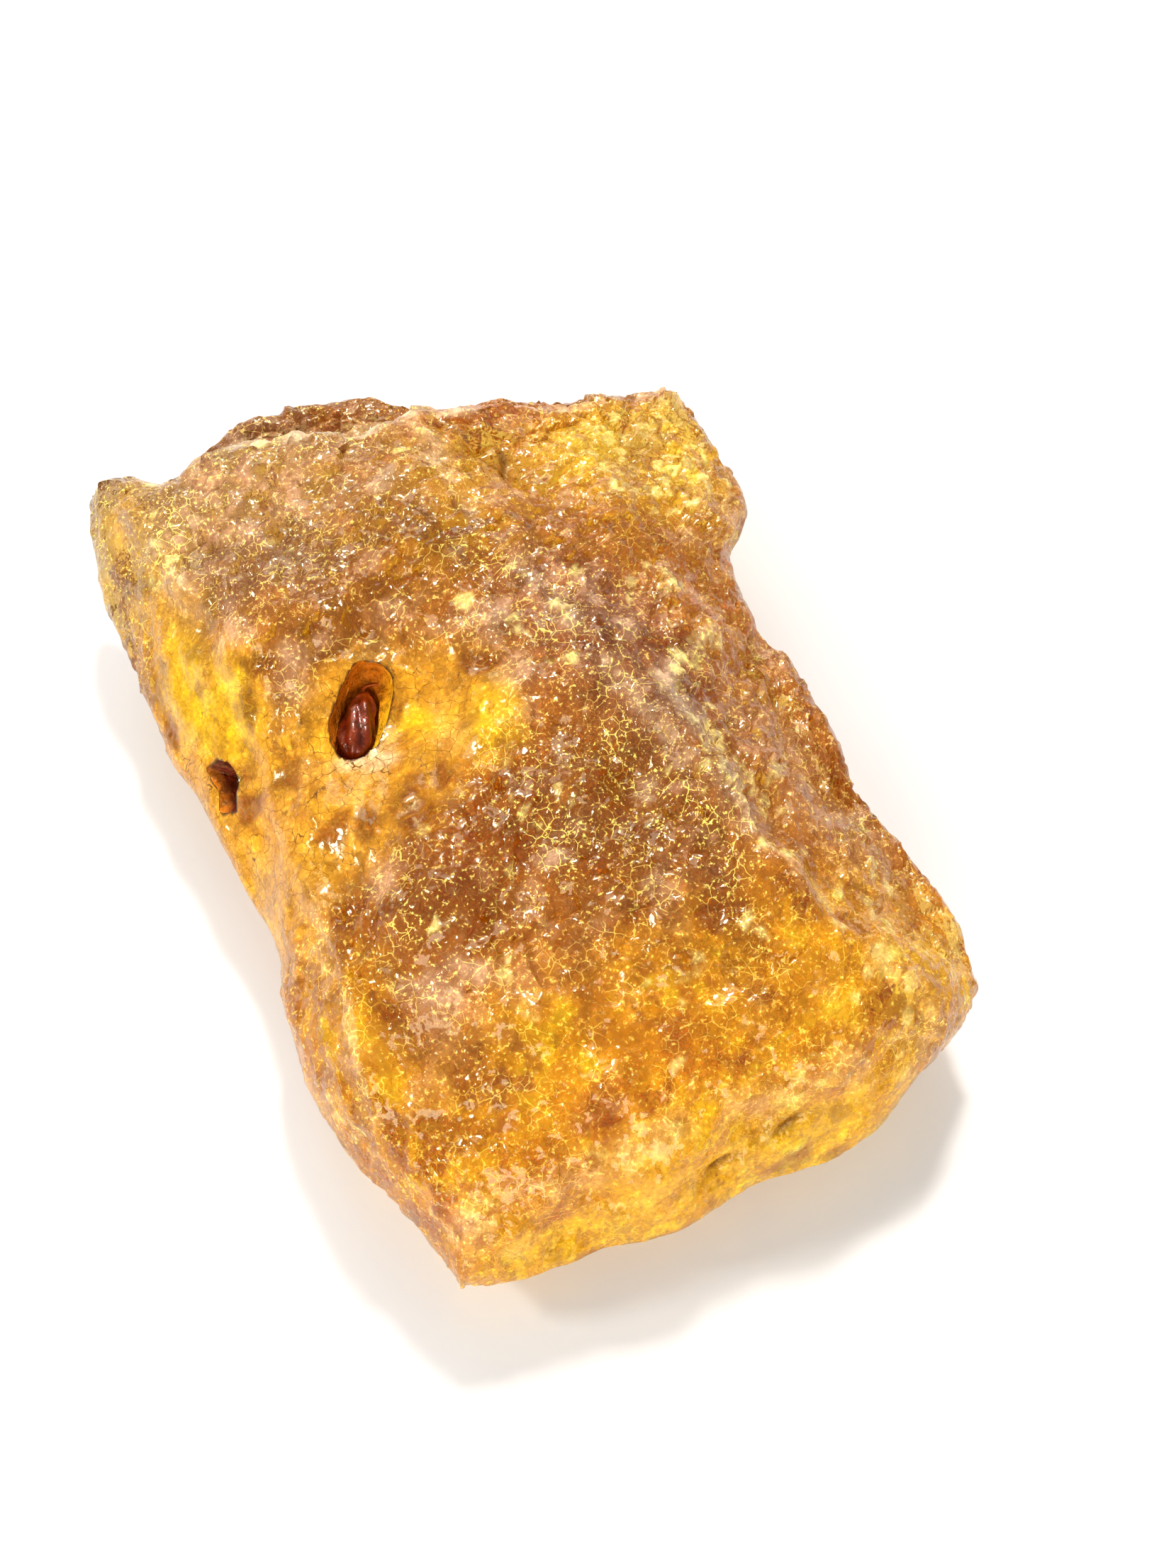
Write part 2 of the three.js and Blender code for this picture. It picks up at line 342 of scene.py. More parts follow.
def ring_surface(rings: Array, first_pole: Array, last_pole: Array) -> Surface:
    """A closed surface from rings of points and a pole at each end.

    Each ring runs anticlockwise as seen from the last pole, so that the faces point outwards.

    Args:
        rings: Points by ring, then by place round the ring.
        first_pole: Point that closes the first ring.
        last_pole: Point that closes the last ring.

    Returns:
        The closed surface.
    """
    count, around = rings.shape[:2]
    points = np.vstack([rings.reshape(-1, 3), first_pole[None], last_pole[None]])
    here = np.arange(count * around).reshape(count, around)
    turned = np.roll(here, -1, axis=1)
    a, b, c, d = here[:-1], turned[:-1], turned[1:], here[1:]
    sides = np.stack([a, b, c, a, c, d], -1).reshape(-1, 3)
    first = np.stack([np.full(around, count * around), turned[0], here[0]], -1)
    last = np.stack([np.full(around, count * around + 1), here[-1], turned[-1]], -1)
    return Surface(points, np.vstack([sides, first, last]))


# The slab's form
# ---------------


@dataclass(frozen=True)
class Facet:
    """A sloping plane of the top, which can climb more steeply past its last y."""

    at: Point  # a point of the plane
    rise: Plan  # rise per millimetre along X and Y
    last: float = 0.0  # the y past which the plane climbs
    climb: float = 0.0  # extra rise per millimetre past that y

    def height(self, x: Array, y: Array) -> Array:
        """The plane z0 + rise · (x - x0, y - y0), plus the climb past the last y."""
        plane = self.at[2] + self.rise[0] * (x - self.at[0]) + self.rise[1] * (y - self.at[1])
        return plane + self.climb * np.maximum(0.0, y - self.last)


@dataclass(frozen=True)
class Hollow(Oval):
    """A shallow hollow of the top, or a swell where its depth is negative."""

    depth: float = 0.0  # depth at the centre
    power: float = 3.2  # how flat it is inside and how soon it is gone past the rim

    def dip(self, x: Array, y: Array) -> Array:
        """The depth times exp(-reach^power)."""
        return self.depth * np.exp(-(self.reach(x, y) ** self.power))


@dataclass(frozen=True)
class Climb:
    """A slope of the underside, which starts at a line and climbs away from the flat patch."""

    start: float  # distance of the line from the centre
    along: Plan  # direction in plan in which it climbs, about 1 long
    slope: float  # rise per millimetre


BACK_LEFT: Point = (-13.9, 21.2, 6.0)
BACK_RIGHT: Point = (14.5, 16.4, 6.2)
FRONT_RIGHT: Point = (13.8, -17.0, 4.5)
FRONT_LEFT: Point = (-11.4, -20.0, 3.0)


@dataclass(frozen=True)
class SlabForm:
    """The slab's broad form: its rim, the facets and hollows of its top, and its underside."""

    back: tuple[Point, ...] = (
        BACK_LEFT, (-12.0, 21.1, 6.9), (-10.1, 20.3, 7.0), (-7.8, 21.3, 7.2), (-4.0, 21.3, 7.5),
        (0.1, 20.7, 7.8), (2.2, 19.0, 7.8), (5.5, 17.8, 7.5), (9.4, 17.1, 7.0), BACK_RIGHT,
    )
    right: tuple[Point, ...] = (
        BACK_RIGHT, (14.6, 14.6, 6.0), (14.9, 12.2, 5.8), (14.8, 9.4, 5.5), (13.9, 7.7, 5.5),
        (12.8, 6.6, 5.5), (12.4, 3.6, 5.5), (13.2, 0.2, 5.5), (13.1, -2.8, 5.5),
        (13.0, -6.4, 5.5), (13.8, -10.8, 5.2), (14.3, -14.1, 5.0), FRONT_RIGHT,
    )
    front: tuple[Point, ...] = (
        FRONT_RIGHT, (12.5, -18.2, 4.2), (8.9, -19.8, 3.6), (6.5, -20.9, 3.2), (4.1, -21.1, 3.0),
        (1.2, -20.8, 3.0), (-2.4, -21.4, 3.0), (-5.4, -20.9, 3.0), (-8.3, -20.8, 3.0), FRONT_LEFT,
    )
    left: tuple[Point, ...] = (
        FRONT_LEFT, (-11.9, -17.6, 3.2), (-13.0, -14.8, 3.4), (-14.2, -10.5, 3.6),
        (-14.0, -6.1, 3.8), (-13.4, -3.3, 4.0), (-13.8, 0.2, 4.0), (-14.1, 4.2, 4.0),
        (-14.7, 7.3, 4.0), (-14.9, 12.1, 4.2), (-14.9, 17.4, 4.8), BACK_LEFT,
    )
    facets: tuple[Facet, ...] = (
        Facet((-6, 14, 10.6), (0.09, -0.08)),  # crown
        Facet((8, 11, 9.2), (-0.33, -0.07)),  # back right
        Facet((0, -5, 10.9), (0.06, 0.03)),  # middle
        Facet((0, -14, 9.6), (0.04, 0.31)),  # front apron
        Facet((6.2, -5, 11.0), (-0.8, -0.08), last=0.0, climb=1.0),  # right slope
        Facet((-13.0, 8, 7.6), (1.5, -0.05), last=10.0, climb=0.34),  # left slope
        Facet((0, -19.6, 6.9), (0.05, 1.5)),  # front bevel
        Facet((-4, 19.8, 9.8), (-0.1, -1.7)),  # back bevel
        Facet((8.3, 16.6, 8.3), (-0.33, -1.56)),  # back right bevel
    )
    hollows: tuple[Hollow, ...] = (
        Hollow((-8.6, 1.4), (8.4, 4.8), 26, 1.5),
        Hollow((-12.8, 3.0), (3.2, 5.4), 0, 1.0),
        Hollow((-5.6, -5.4), (3.6, 2.2), 24, -0.55),
        Hollow((3.4, -6.8), (5.6, 1.7), -78, 0.7),
        Hollow((7.9, -8.2), (6.4, 0.8), -80, 0.4),
        Hollow((6.3, -7.6), (7.6, 0.6), -79, -0.35),
        Hollow((12.2, 4.0), (3.4, 2.6), 80, 0.6),
        Hollow((5.2, 13.6), (3.0, 1.6), 70, 0.45),
        Hollow((2.2, 8.4), (2.2, 4.6), -25, 0.5),
        Hollow((-10.4, 19.6), (2.4, 1.5), 60, 0.4),
        Hollow((-10.5, -11.5), (2.6, 5.5), 0, 0.6),
        Hollow((-5.5, 17.0), (3.4, 2.4), 0, -0.4),
    )
    climbs: tuple[Climb, ...] = (
        Climb(7.6, (-1, 0.1), 0.36),
        Climb(7.2, (1, 0.15), 0.42),
        Climb(12.8, (0.1, -1), 0.3),
        Climb(11.2, (-0.15, 1), 0.5),
        Climb(10.6, (0.75, -0.66), 0.5),
        Climb(10.4, (-0.6, 0.8), 0.32),
    )
    facet_blend: float = 0.22  # mm over which the facets meet roundly
    under_blend: float = 0.5  # mm over which the climbs meet roundly
    edge_width: float = 0.6  # mm from an edge between facets at which its share is about a third
    edge_bend: Plan = (0.2, 0.6)  # change of slope at which an edge starts to count and counts fully
    least_bend: float = 0.01  # keeps the distance to an edge between parallel facets finite
    lip: float = 1.2  # mm that each sheet stands off the rim at least
    power_across: float = 11.0  # how late the sheets close on the rim at the sides
    power_along: float = 15.0  # and at the ends
    top_round: float = 0.5  # power of the top sheet's closing
    under_round: float = 0.45  # power of the under sheet's closing
    wave_count: int = 10
    longest_wave: float = 11.0  # mm
    wave_shrink: float = 0.86  # length of each wave over the last
    wave_turn: float = 2.4  # radians from each wave's direction in plan to the next
    wave_lean: float = 1.3  # how much faster the waves turn in height
    wave_phase: float = 1.7  # radians, times the square of the wave's number
    lump_share: float = 0.016  # height of a wave over its length
    lumps_fade_below: float = 1.0  # mm
    sideways_at_rim: float = 0.25  # share of the lumps' sideways move that is left on the rim

    @staticmethod
    def soft_lowest(heights: Array, blend: float) -> Array:
        """-blend · ln(Σ exp(-h / blend)) over the first axis: the least height, rounded over."""
        least = heights.min(axis=0)
        return least - blend * np.log(np.exp((least - heights) / blend).sum(axis=0))

    def top_height(self, x: Array, y: Array) -> Array:
        """The rounded lowest of the facets, less the hollows: the top without its lumps."""
        planes = np.stack([facet.height(x, y) for facet in self.facets])
        return self.soft_lowest(planes, self.facet_blend) - sum(hollow.dip(x, y) for hollow in self.hollows)

    def edge_share(self, x: Array, y: Array) -> Array:
        """How near a place of the top is to an edge between two facets.

        The distance d to the edge is the gap between the two lowest facets over the difference of
        their slopes, and the share is exp(-(d / width)²). Edges between near-parallel facets fade.

        Args:
            x: Places across.
            y: Places along.

        Returns:
            The share of each place, from 0 to 1.
        """
        planes = np.stack([facet.height(x, y) for facet in self.facets])
        order = np.argsort(planes, axis=0)[:2]
        lowest, second = np.take_along_axis(planes, order, axis=0)
        rises = np.array([facet.rise for facet in self.facets])
        bend = np.linalg.norm(rises[order[0]] - rises[order[1]], axis=-1)
        distance = (second - lowest) / np.maximum(bend, self.least_bend)
        return np.exp(-((distance / self.edge_width) ** 2)) * smoothstep(*self.edge_bend, bend)

    def under_height(self, x: Array, y: Array) -> Array:
        """0 on the flat patch, and the highest of the climbs past their lines.

        Args:
            x: Places across.
            y: Places along.

        Returns:
            The underside's height at each place.
        """
        slopes = np.stack([
            -climb.slope * (climb.along[0] * x + climb.along[1] * y - climb.start)
            for climb in self.climbs
        ])
        return np.maximum(0.0, -self.soft_lowest(slopes, self.under_blend))

    def lump(self, points: Array) -> Array:
        """A sum of plane waves, each shorter and turned from the last, faded out near z 0.

        Args:
            points: Places, one per row.

        Returns:
            How far each point is pushed out.
        """
        push = np.zeros(len(points))
        for i in range(self.wave_count):
            length = self.longest_wave * self.wave_shrink**i
            turn = self.wave_turn * i
            way = np.array([math.cos(turn), math.sin(turn), math.cos(self.wave_lean * turn)])
            phase = 2 * math.pi * points @ way / length + self.wave_phase * i * i
            push += self.lump_share * length * np.sin(phase)
        return push * smoothstep(0.0, self.lumps_fade_below, points[:, 2])

    def surface_height(self, x: float, y: float) -> float:
        """Height of the top with its lumps, away from the rim.

        Args:
            x: Place across in the part's frame.
            y: Place along.

        Returns:
            The height.
        """
        local = np.array([[x - CENTRING[0], y - CENTRING[1], 0.0]])
        local[:, 2] = self.top_height(local[:, 0], local[:, 1])
        return float(local[0, 2] + self.lump(local)[0])

    def spanned(self, u: Array, v: Array) -> Array:
        """The sheet stretched between the four sides of the rim.

        A Coons patch: the blend of front and back, plus the blend of left and right, less the
        blend of the four corners.

        Args:
            u: Shares across, from the left.
            v: Shares along, from the front.

        Returns:
            Points by row of v, then u.
        """
        across, along = u[None, :, None], v[:, None, None]
        sides = ((self.front, 1 - u), (self.back, u), (self.left, v), (self.right, 1 - v))
        front, back, left, right = (at_shares(curve_points(np.array(side)), share) for side, share in sides)
        front, back, left, right = front[None], back[None], left[:, None], right[:, None]
        corners = (
            (1 - across) * (1 - along) * np.array(FRONT_LEFT)
            + across * (1 - along) * np.array(FRONT_RIGHT)
            + (1 - across) * along * np.array(BACK_LEFT)
            + across * along * np.array(BACK_RIGHT)
        )
        return (1 - along) * front + along * back + (1 - across) * left + across * right - corners

    def surface(self, cells_across: int, cells_along: int, crowding: float) -> Surface:
        """The closed slab: a top sheet and an under sheet that meet at the rim, with the lumps.

        A sheet's height closes on the rim as (1 - max(|2u-1|^p, |2v-1|^q))^r. Cells are crowded at
        the rim by u - crowding · sin(2πu) / 2π.

        Args:
            cells_across: Cells of each sheet across the slab.
            cells_along: Cells of each sheet along the slab.
            crowding: 0 spreads the cells evenly, nearer 1 crowds them at the rim.

        Returns:
            The slab in the part's frame.
        """
        even = (np.linspace(0, 1, cells + 1) for cells in (cells_across, cells_along))
        u, v = (share - crowding * np.sin(2 * math.pi * share) / (2 * math.pi) for share in even)
        sheet = self.spanned(u, v)
        x, y, rim_z = sheet[..., 0], sheet[..., 1], sheet[..., 2]
        closing = 1 - np.maximum(
            np.abs(2 * u - 1)[None, :] ** self.power_across,
            np.abs(2 * v - 1)[:, None] ** self.power_along,
        )
        high = np.maximum(self.top_height(x, y), rim_z + self.lip)
        low = np.minimum(self.under_height(x, y), rim_z - self.lip)
        top, under = sheet.copy(), sheet.copy()
        top[..., 2] += (high - rim_z) * closing**self.top_round
        under[..., 2] += (low - rim_z) * closing**self.under_round
        numbers = np.arange(closing.size).reshape(closing.shape)
        inner = np.zeros_like(numbers, bool)
        inner[1:-1, 1:-1] = True
        under_numbers = numbers.copy()
        under_numbers[inner] = closing.size + np.arange(inner.sum())
        points = np.vstack([top.reshape(-1, 3), under[inner]])
        insets = np.concatenate([closing.reshape(-1), closing[inner]])
        upward, downward = self.sheet_faces(numbers), self.sheet_faces(under_numbers)[:, ::-1]
        slab = Surface(points, np.vstack([upward, downward]))
        push, normal = self.lump(points), slab.normals()
        sideways = self.sideways_at_rim + (1 - self.sideways_at_rim) * insets
        points[:, :2] += (push * sideways)[:, None] * normal[:, :2]
        points[:, 2] = np.maximum(0.0, points[:, 2] + push * normal[:, 2])
        points += CENTRING
        return slab

    @staticmethod
    def sheet_faces(numbers: Array) -> Array:
        """Two triangles for each cell of a sheet.

        Args:
            numbers: Point numbers by row and column.

        Returns:
            The triangles.
        """
        a, b = numbers[:-1, :-1], numbers[:-1, 1:]
        c, d = numbers[1:, 1:], numbers[1:, :-1]
        return np.stack([a, b, c, a, c, d], -1).reshape(-1, 3)


# The skin's relief and its zones
# -------------------------------


@dataclass(frozen=True)
class Patch(Oval):
    """A soft-edged oval area in plan: 1 inside, easing to 0 over its soft width."""

    soft: float = 0.35  # half of the soft width, as a share of the oval's half sizes

    def share(self, points: Array) -> Array:
        """1 - smoothstep of each point's reach, across the soft width."""
        return 1.0 - smoothstep(1.0 - self.soft, 1.0 + self.soft, self.reach(points[:, 0], points[:, 1]))


def most_of(patches: tuple[Patch, ...], points: Array) -> Array:
    """The greatest share that any of the patches has at each point."""
    return np.max([patch.share(points) for patch in patches], axis=0)


class Zone(Enum):
    """Areas of the slab that look different. Some weathered differently, and some carry painted light in
    their colours: painted glow, painted reflection and painted shade.
    """

    ROSE = "rose"
    SATIN = "satin"
    LEMON = "lemon"
    UMBER = "umber"
    AMBER = "amber"
    GLOW = "glow"


Shares = dict[Zone, Array]
Weights = tuple[tuple[Zone, float], ...]
GOLDEN: Weights = ((Zone.SATIN, 1.0), (Zone.GLOW, 1.0), (Zone.AMBER, 1.0), (Zone.LEMON, 1.0))


def strongest(zones: Shares, weights: Weights) -> Array:
    """The greatest weight · share of the weighted zones at each point."""
    return np.max([weight * zones[zone] for zone, weight in weights], axis=0)


@dataclass(frozen=True)
class ZoneLook:
    """Where a zone lies and how its resin looks."""

    patches: tuple[Patch, ...]  # areas in plan that the zone is made of
    clear: Rgb  # tint of the clear resin
    crust: Rgb  # colour of the crust
    haze: float  # share of crust, which replaces the slab's usual one
    craze: float  # how much of the pale threads and flecks shows, likewise
    even: float = 0.0  # how far the clouds in the zone are filled in


ZONE_LOOKS: dict[Zone, ZoneLook] = {
    # Rose: brown crust of the crown, partly the resin's own colour and partly painted reflection, a pinkish
    # sheen laid into the tint.
    Zone.ROSE: ZoneLook(
        (
            Patch((-6.5, 15.5), (8.0, 6.0), 14),
            Patch((4.5, 2.0), (3.5, 6.5), 20),
        ),
        (0.68, 0.49, 0.38), (0.26, 0.085, 0.038), 0.90, 0.60, 0.1,
    ),
    # Amber: orange resin at the front and left, partly its own colour and partly painted glow of light coming
    # through the thin resin there.
    Zone.AMBER: ZoneLook(
        (
            Patch((0.0, -16.5), (16.0, 5.5), 4, 0.35),
            Patch((-12.5, -12.0), (2.6, 9.0), -4, 0.4),
            Patch((-13.6, 16.5), (1.8, 5.5), 0, 0.6),
        ),
        (1.0, 0.86, 0.30), (1.0, 0.44, 0.002), 0.55, 0.45,
    ),
    # Painted glow: bright orange crust and a pale clear tint along the front bevel and the left edge,
    # standing in for light that comes through the thin resin there.
    Zone.GLOW: ZoneLook(
        (
            Patch((-2.0, -21.3), (12.5, 2.4), 2, 0.4),
            Patch((-14.2, 0.0), (1.2, 5.0), 0, 0.5),
        ),
        (1.0, 0.90, 0.28), (1.0, 0.53, 0.001), 0.9, 0.15, 0.25,
    ),
    # Umber: darker resin in the middle, partly its own colour and partly painted shade.
    Zone.UMBER: ZoneLook(
        (
            Patch((1.0, -5.5), (5.5, 4.5), -20, 0.45),
            # Painted shadow: the long band in the hollow beside the right ridge.
            Patch((4.1, -8.0), (5.5, 1.5), -80, 0.5),
            Patch((0.8, 9.2), (1.6, 1.8), 0, 0.6),
            Patch((-12.8, 18.2), (3.2, 5.0), 0, 0.6),
            Patch((-6.6, -8.4), (2.4, 2.6), 0, 0.6),
        ),
        (0.72, 0.52, 0.35), (0.21, 0.065, 0.006), 0.60, 0.85,
    ),
    Zone.SATIN: ZoneLook(
        (
            Patch((-8.0, 0.6), (7.5, 4.4), 24, 0.28),
            Patch((-12.6, 4.0), (2.4, 9.0), 0, 0.3),
        ),
        (1.0, 0.86, 0.30), (0.80, 0.37, 0.015), 0.82, 0.85, 0.25,
    ),
    # Lemon: bright yellow patches that stand in for light reflected off cracks inside the resin, a painted
    # reflection.
    Zone.LEMON: ZoneLook(
        (
            Patch((-12.6, 8.0), (1.5, 3.6), 4, 0.5),
            Patch((10.8, 12.2), (4.2, 3.2), -30, 0.6),
            Patch((-1.6, 0.2), (1.0, 1.6), 0, 0.6),
            Patch((-4.9, 2.6), (0.7, 2.0), 60, 0.6),
        ),
        (1.0, 0.86, 0.28), (0.95, 0.53, 0.006), 0.80, 0.50,
    ),
}


@dataclass(frozen=True)
class Plates:
    """Small scales of skin, each a little tilted and raised or sunk, with grooves between."""

    cells: Cells  # the pattern of scales
    height: float  # most that a scale stands up or down
    tilt: float  # most that a scale tilts, as a slope
    groove: float  # depth of the grooves
    groove_width: float  # width of one side of a groove

    def push(self, points: Array) -> tuple[Array, CellSample]:
        """How far each point moves out: height · k0 + tilt · (offset · k) - groove at the border.

        Args:
            points: Places, one per row.

        Returns:
            The push at each point, and the cells that the points lie in.
        """
        sample = self.cells.sample(points)
        signed = 2.0 * sample.key - 1.0
        lean = np.sum(sample.offset * signed[:, [1, 2, 0]], axis=1)
        inside = smoothstep(0.0, self.groove_width, sample.border)
        push = self.height * signed[:, 0] + self.tilt * lean - self.groove * (1.0 - inside)
        return push, sample


@dataclass(frozen=True)
class SkinSample:
    """What is known about the slab's points once its skin has its relief."""

    points: Array  # the points before the relief
    zones: Shares  # share of each zone
    large: CellSample  # the large scales that the points lie in
    small: CellSample  # the small scales
    chipped: Array  # how much of a chip each point is
    nicked: Array  # how much of a nick each point is


@dataclass(frozen=True)
class SkinRelief:
    """The weathered skin: dents, two sizes of scales, flaked-off chips and a few nicks."""

    dents: tuple[Ripple, ...] = (Ripple(0.20, 2.6, 5), Ripple(0.06, 0.9, 6))
    large: Plates = Plates(Cells(1.35, 11, 0.3), 0.06, 0.20, 0.04, 0.16)
    small: Plates = Plates(Cells(0.66, 31, 0.14), 0.035, 0.28, 0.025, 0.12)
    chips: Cells = Cells(1.9, 71, 0.5)
    chip_share: float = 0.16  # share of the cells that are chipped
    chip_depth: float = 0.2
    chip_edge: float = 0.35  # mm over which a chip reaches its depth
    nicks: tuple[Patch, ...] = (
        Patch((4.2, 13.1), (0.95, 0.26), 78, 0.5),
        Patch((-6.0, -2.1), (0.85, 0.34), 20, 0.5),
        Patch((3.4, -19.9), (0.8, 0.14), 8, 0.6),
        Patch((0.2, -20.2), (0.9, 0.10), 10, 0.6),
    )
    nick_depth: float = 0.26
    nicks_above: float = 0.2  # least upward part of the normal where a nick is cut
    smoothed: Weights = ((Zone.SATIN, 0.8), (Zone.GLOW, 0.75), (Zone.AMBER, 0.4))
    upright_share: float = 0.5  # relief that is left where the surface stands upright
    smooth_dents: float = 0.45  # dents that are left on smooth skin

    def apply(self, slab: Surface, zones: Shares) -> SkinSample:
        """Moves the slab's points along their normals.

        Roughness is 1 less how much the zones smooth the skin, and less where the surface stands
        upright. Scales and chips are multiplied by it. Dents are multiplied by a number that goes
        from their smooth share to 1 with it.

        Args:
            slab: The slab, changed in place.
            zones: Share of each zone at each point.

        Returns:
            What is known about the points.
        """
        points, normal = slab.points.copy(), slab.normals()
        upward = self.upright_share + (1.0 - self.upright_share) * np.abs(normal[:, 2])
        rough = (1.0 - strongest(zones, self.smoothed)) * upward
        dents = sum(dent.at(points) for dent in self.dents)
        large, large_cells = self.large.push(points)
        small, small_cells = self.small.push(points)
        chip = self.chips.sample(points)
        chipped = (chip.key[:, 0] < self.chip_share) * smoothstep(0.0, self.chip_edge, chip.border)
        push = dents * (self.smooth_dents + (1.0 - self.smooth_dents) * rough)
        push += (large + small) * rough - self.chip_depth * chipped * rough
        nicked = most_of(self.nicks, points) * (normal[:, 2] > self.nicks_above)
        push -= self.nick_depth * nicked
        slab.points += push[:, None] * normal
        slab.points[:, 2] = np.maximum(0.0, slab.points[:, 2])
        return SkinSample(points, zones, large_cells, small_cells, chipped, nicked)


@dataclass
class Tints:
    """The paint in the making, at each point."""

    clear: Array  # tint of the clear resin
    crust: Array  # colour of the crust
    haze: Array  # share of crust
    craze: Array  # how much of the pale threads and flecks shows

    def lay(self, share: Array, **goals: float | Rgb) -> None:
        """Moves the named values towards their goals: value + share · (goal - value).

        Args:
            share: How far each point's value moves, from 0 to 1.
            goals: The goal of each value, by its name.
        """
        for name, goal in goals.items():
            value = getattr(self, name)
            value += (share[:, None] if value.ndim == 2 else share) * (np.array(goal) - value)


@dataclass(frozen=True)
class SkinPaint:
    """Colours at the slab's points: the zones, clouded, and each scale a little different, with painted light
    laid in: sheen, glints, and some zones' glow, reflection and shade.
    """

    clear: Rgb = (1.0, 0.82, 0.40)
    crust: Rgb = (0.52, 0.185, 0.02)
    haze: float = 0.45
    craze: float = 0.55
    # The zones, laid one over the other, each broken up by clouds of its own.
    zone_strength: float = 0.9
    zone_cloud: Ripple = Ripple(0.5, 2.2, 401, 3)
    zone_seed_step: int = 10
    zone_keys: float = 0.3  # how much the clouds change from scale to scale
    zone_span: Plan = (0.1, 0.5)  # cloud at which a zone starts and is full
    # Scales and mottles that are lighter or darker, and clearer or hazier.
    mottle: Ripple = Ripple(1.0, 1.3, 451, 3)
    mottle_on_gold: float = 0.3
    key_light: float = 0.4
    mottle_light: float = 0.35
    clear_light: float = 0.25  # share of the lightening that the clear resin takes
    haze_scale: float = 0.68
    haze_base: float = 0.55
    haze_vary: float = 0.5
    haze_limits: Plan = (0.1, 2.0)
    chip_clears: float = 0.8
    satin_haze: float = 0.3
    # Pale flakes of skin.
    flake: Rgb = (1.0, 0.82, 0.26)
    flaky: tuple[Patch, ...] = (
        Patch((7.0, -6.0), (7.5, 0.8), -84, 0.5),
        Patch((10.0, -13.5), (5.0, 0.8), -55, 0.5),
        Patch((9.6, -6.2), (1.2, 1.0), 0, 0.5),
        Patch((8.2, 2.4), (1.6, 3.6), 0, 0.5),
        Patch((-1.4, -4.6), (1.6, 1.2), 0, 0.5),
        Patch((2.6, 3.8), (1.6, 1.2), 30, 0.5),
        Patch((11.0, 11.6), (3.4, 3.0), 0, 0.5),
    )
    flake_cloud: Ripple = Ripple(1.0, 3.0, 461)
    flake_span: Plan = (-0.1, 0.4)
    flakes_in_clouds: float = 0.13  # share of scales that are flakes
    flakes_in_patches: float = 0.40
    flake_soft: float = 0.04
    flake_border: Plan = (0.02, 0.10)  # mm from a scale's side
    flakes_on_glow: float = 0.4
    # A painted sheen: pale pinkish reflections laid into the crust's colour, in clouds and patches.
    painted_sheen: Rgb = (0.78, 0.52, 0.33)
    painted_sheen_patches: tuple[Patch, ...] = (
        Patch((10.6, -7.5), (1.8, 7.5), 12, 0.6),
        Patch((-8.5, 15.5), (5.0, 4.5), 20, 0.6),
    )
    painted_sheen_cloud: Ripple = Ripple(1.0, 1.7, 481, 3)
    painted_sheen_span: Plan = (0.05, 0.5)
    painted_sheen_strength: float = 0.55
    painted_sheen_in_patches: float = 0.55
    painted_sheen_on_gold: float = 0.2
    painted_sheen_keys: float = 0.5
    # Painted highlights: pale glints along the edges between facets, and one pale highlight spot beside the
    # larger pit.
    painted_glint: Rgb = (0.95, 0.74, 0.46)
    glossy: Patch = Patch((-7.0, 1.1), (1.3, 0.5), -20, 0.5)
    painted_glint_cloud: Ripple = Ripple(1.0, 1.6, 471)
    painted_glint_span: Plan = (-0.5, 0.1)
    painted_glint_spared: Weights = (
        (Zone.GLOW, 0.6), (Zone.AMBER, 0.6), (Zone.LEMON, 0.6), (Zone.SATIN, 0.95),
    )
    painted_glint_keys: float = 0.6
    nick: Rgb = (0.13, 0.022, 0.003)
    # How strongly each is laid over the crust, and makes it hazier or more crazed.
    painted_glint_strength: float = 0.8
    nick_strength: float = 0.9
    flake_strength: float = 0.6
    pale_haze: float = 0.6
    nick_haze: float = 0.7
    flake_haze: float = 0.4
    painted_glint_craze: float = 0.5

    def zoned(self, skin: SkinSample) -> Tints:
        """The usual values, with each zone laid over the last by its clouded share.

        Args:
            skin: What is known about the points.

        Returns:
            The values at the points.
        """
        count = len(skin.points)
        tints = Tints(
            np.tile(self.clear, (count, 1)), np.tile(self.crust, (count, 1)),
            np.full(count, self.haze), np.full(count, self.craze),
        )
        for order, (zone, look) in enumerate(ZONE_LOOKS.items()):
            ripple = replace(self.zone_cloud, seed=self.zone_cloud.seed + self.zone_seed_step * order)
            cloud = 0.5 + ripple.at(skin.points) + self.zone_keys * (skin.small.key[:, 1] - 0.5)
            share = self.zone_strength * skin.zones[zone] * smoothstep(*self.zone_span, cloud + look.even)
            tints.lay(share, clear=look.clear, crust=look.crust, haze=look.haze, craze=look.craze)
        return tints

    def flakes(self, skin: SkinSample) -> Array:
        """Which scales are pale flakes: some in clouds and patches, few on glow, none on satin.

        Args:
            skin: What is known about the points.

        Returns:
            How much of a flake each point is, from 0 to 1.
        """
        clouds = smoothstep(*self.flake_span, self.flake_cloud.at(skin.points))
        share = self.flakes_in_clouds * clouds + self.flakes_in_patches * most_of(self.flaky, skin.points)
        flake = smoothstep(0.0, self.flake_soft, skin.small.key[:, 0] - 1.0 + share)
        flake *= smoothstep(*self.flake_border, skin.small.border)
        dull = (1.0 - skin.zones[Zone.SATIN]) * (1.0 - (1.0 - self.flakes_on_glow) * skin.zones[Zone.GLOW])
        return flake * dull

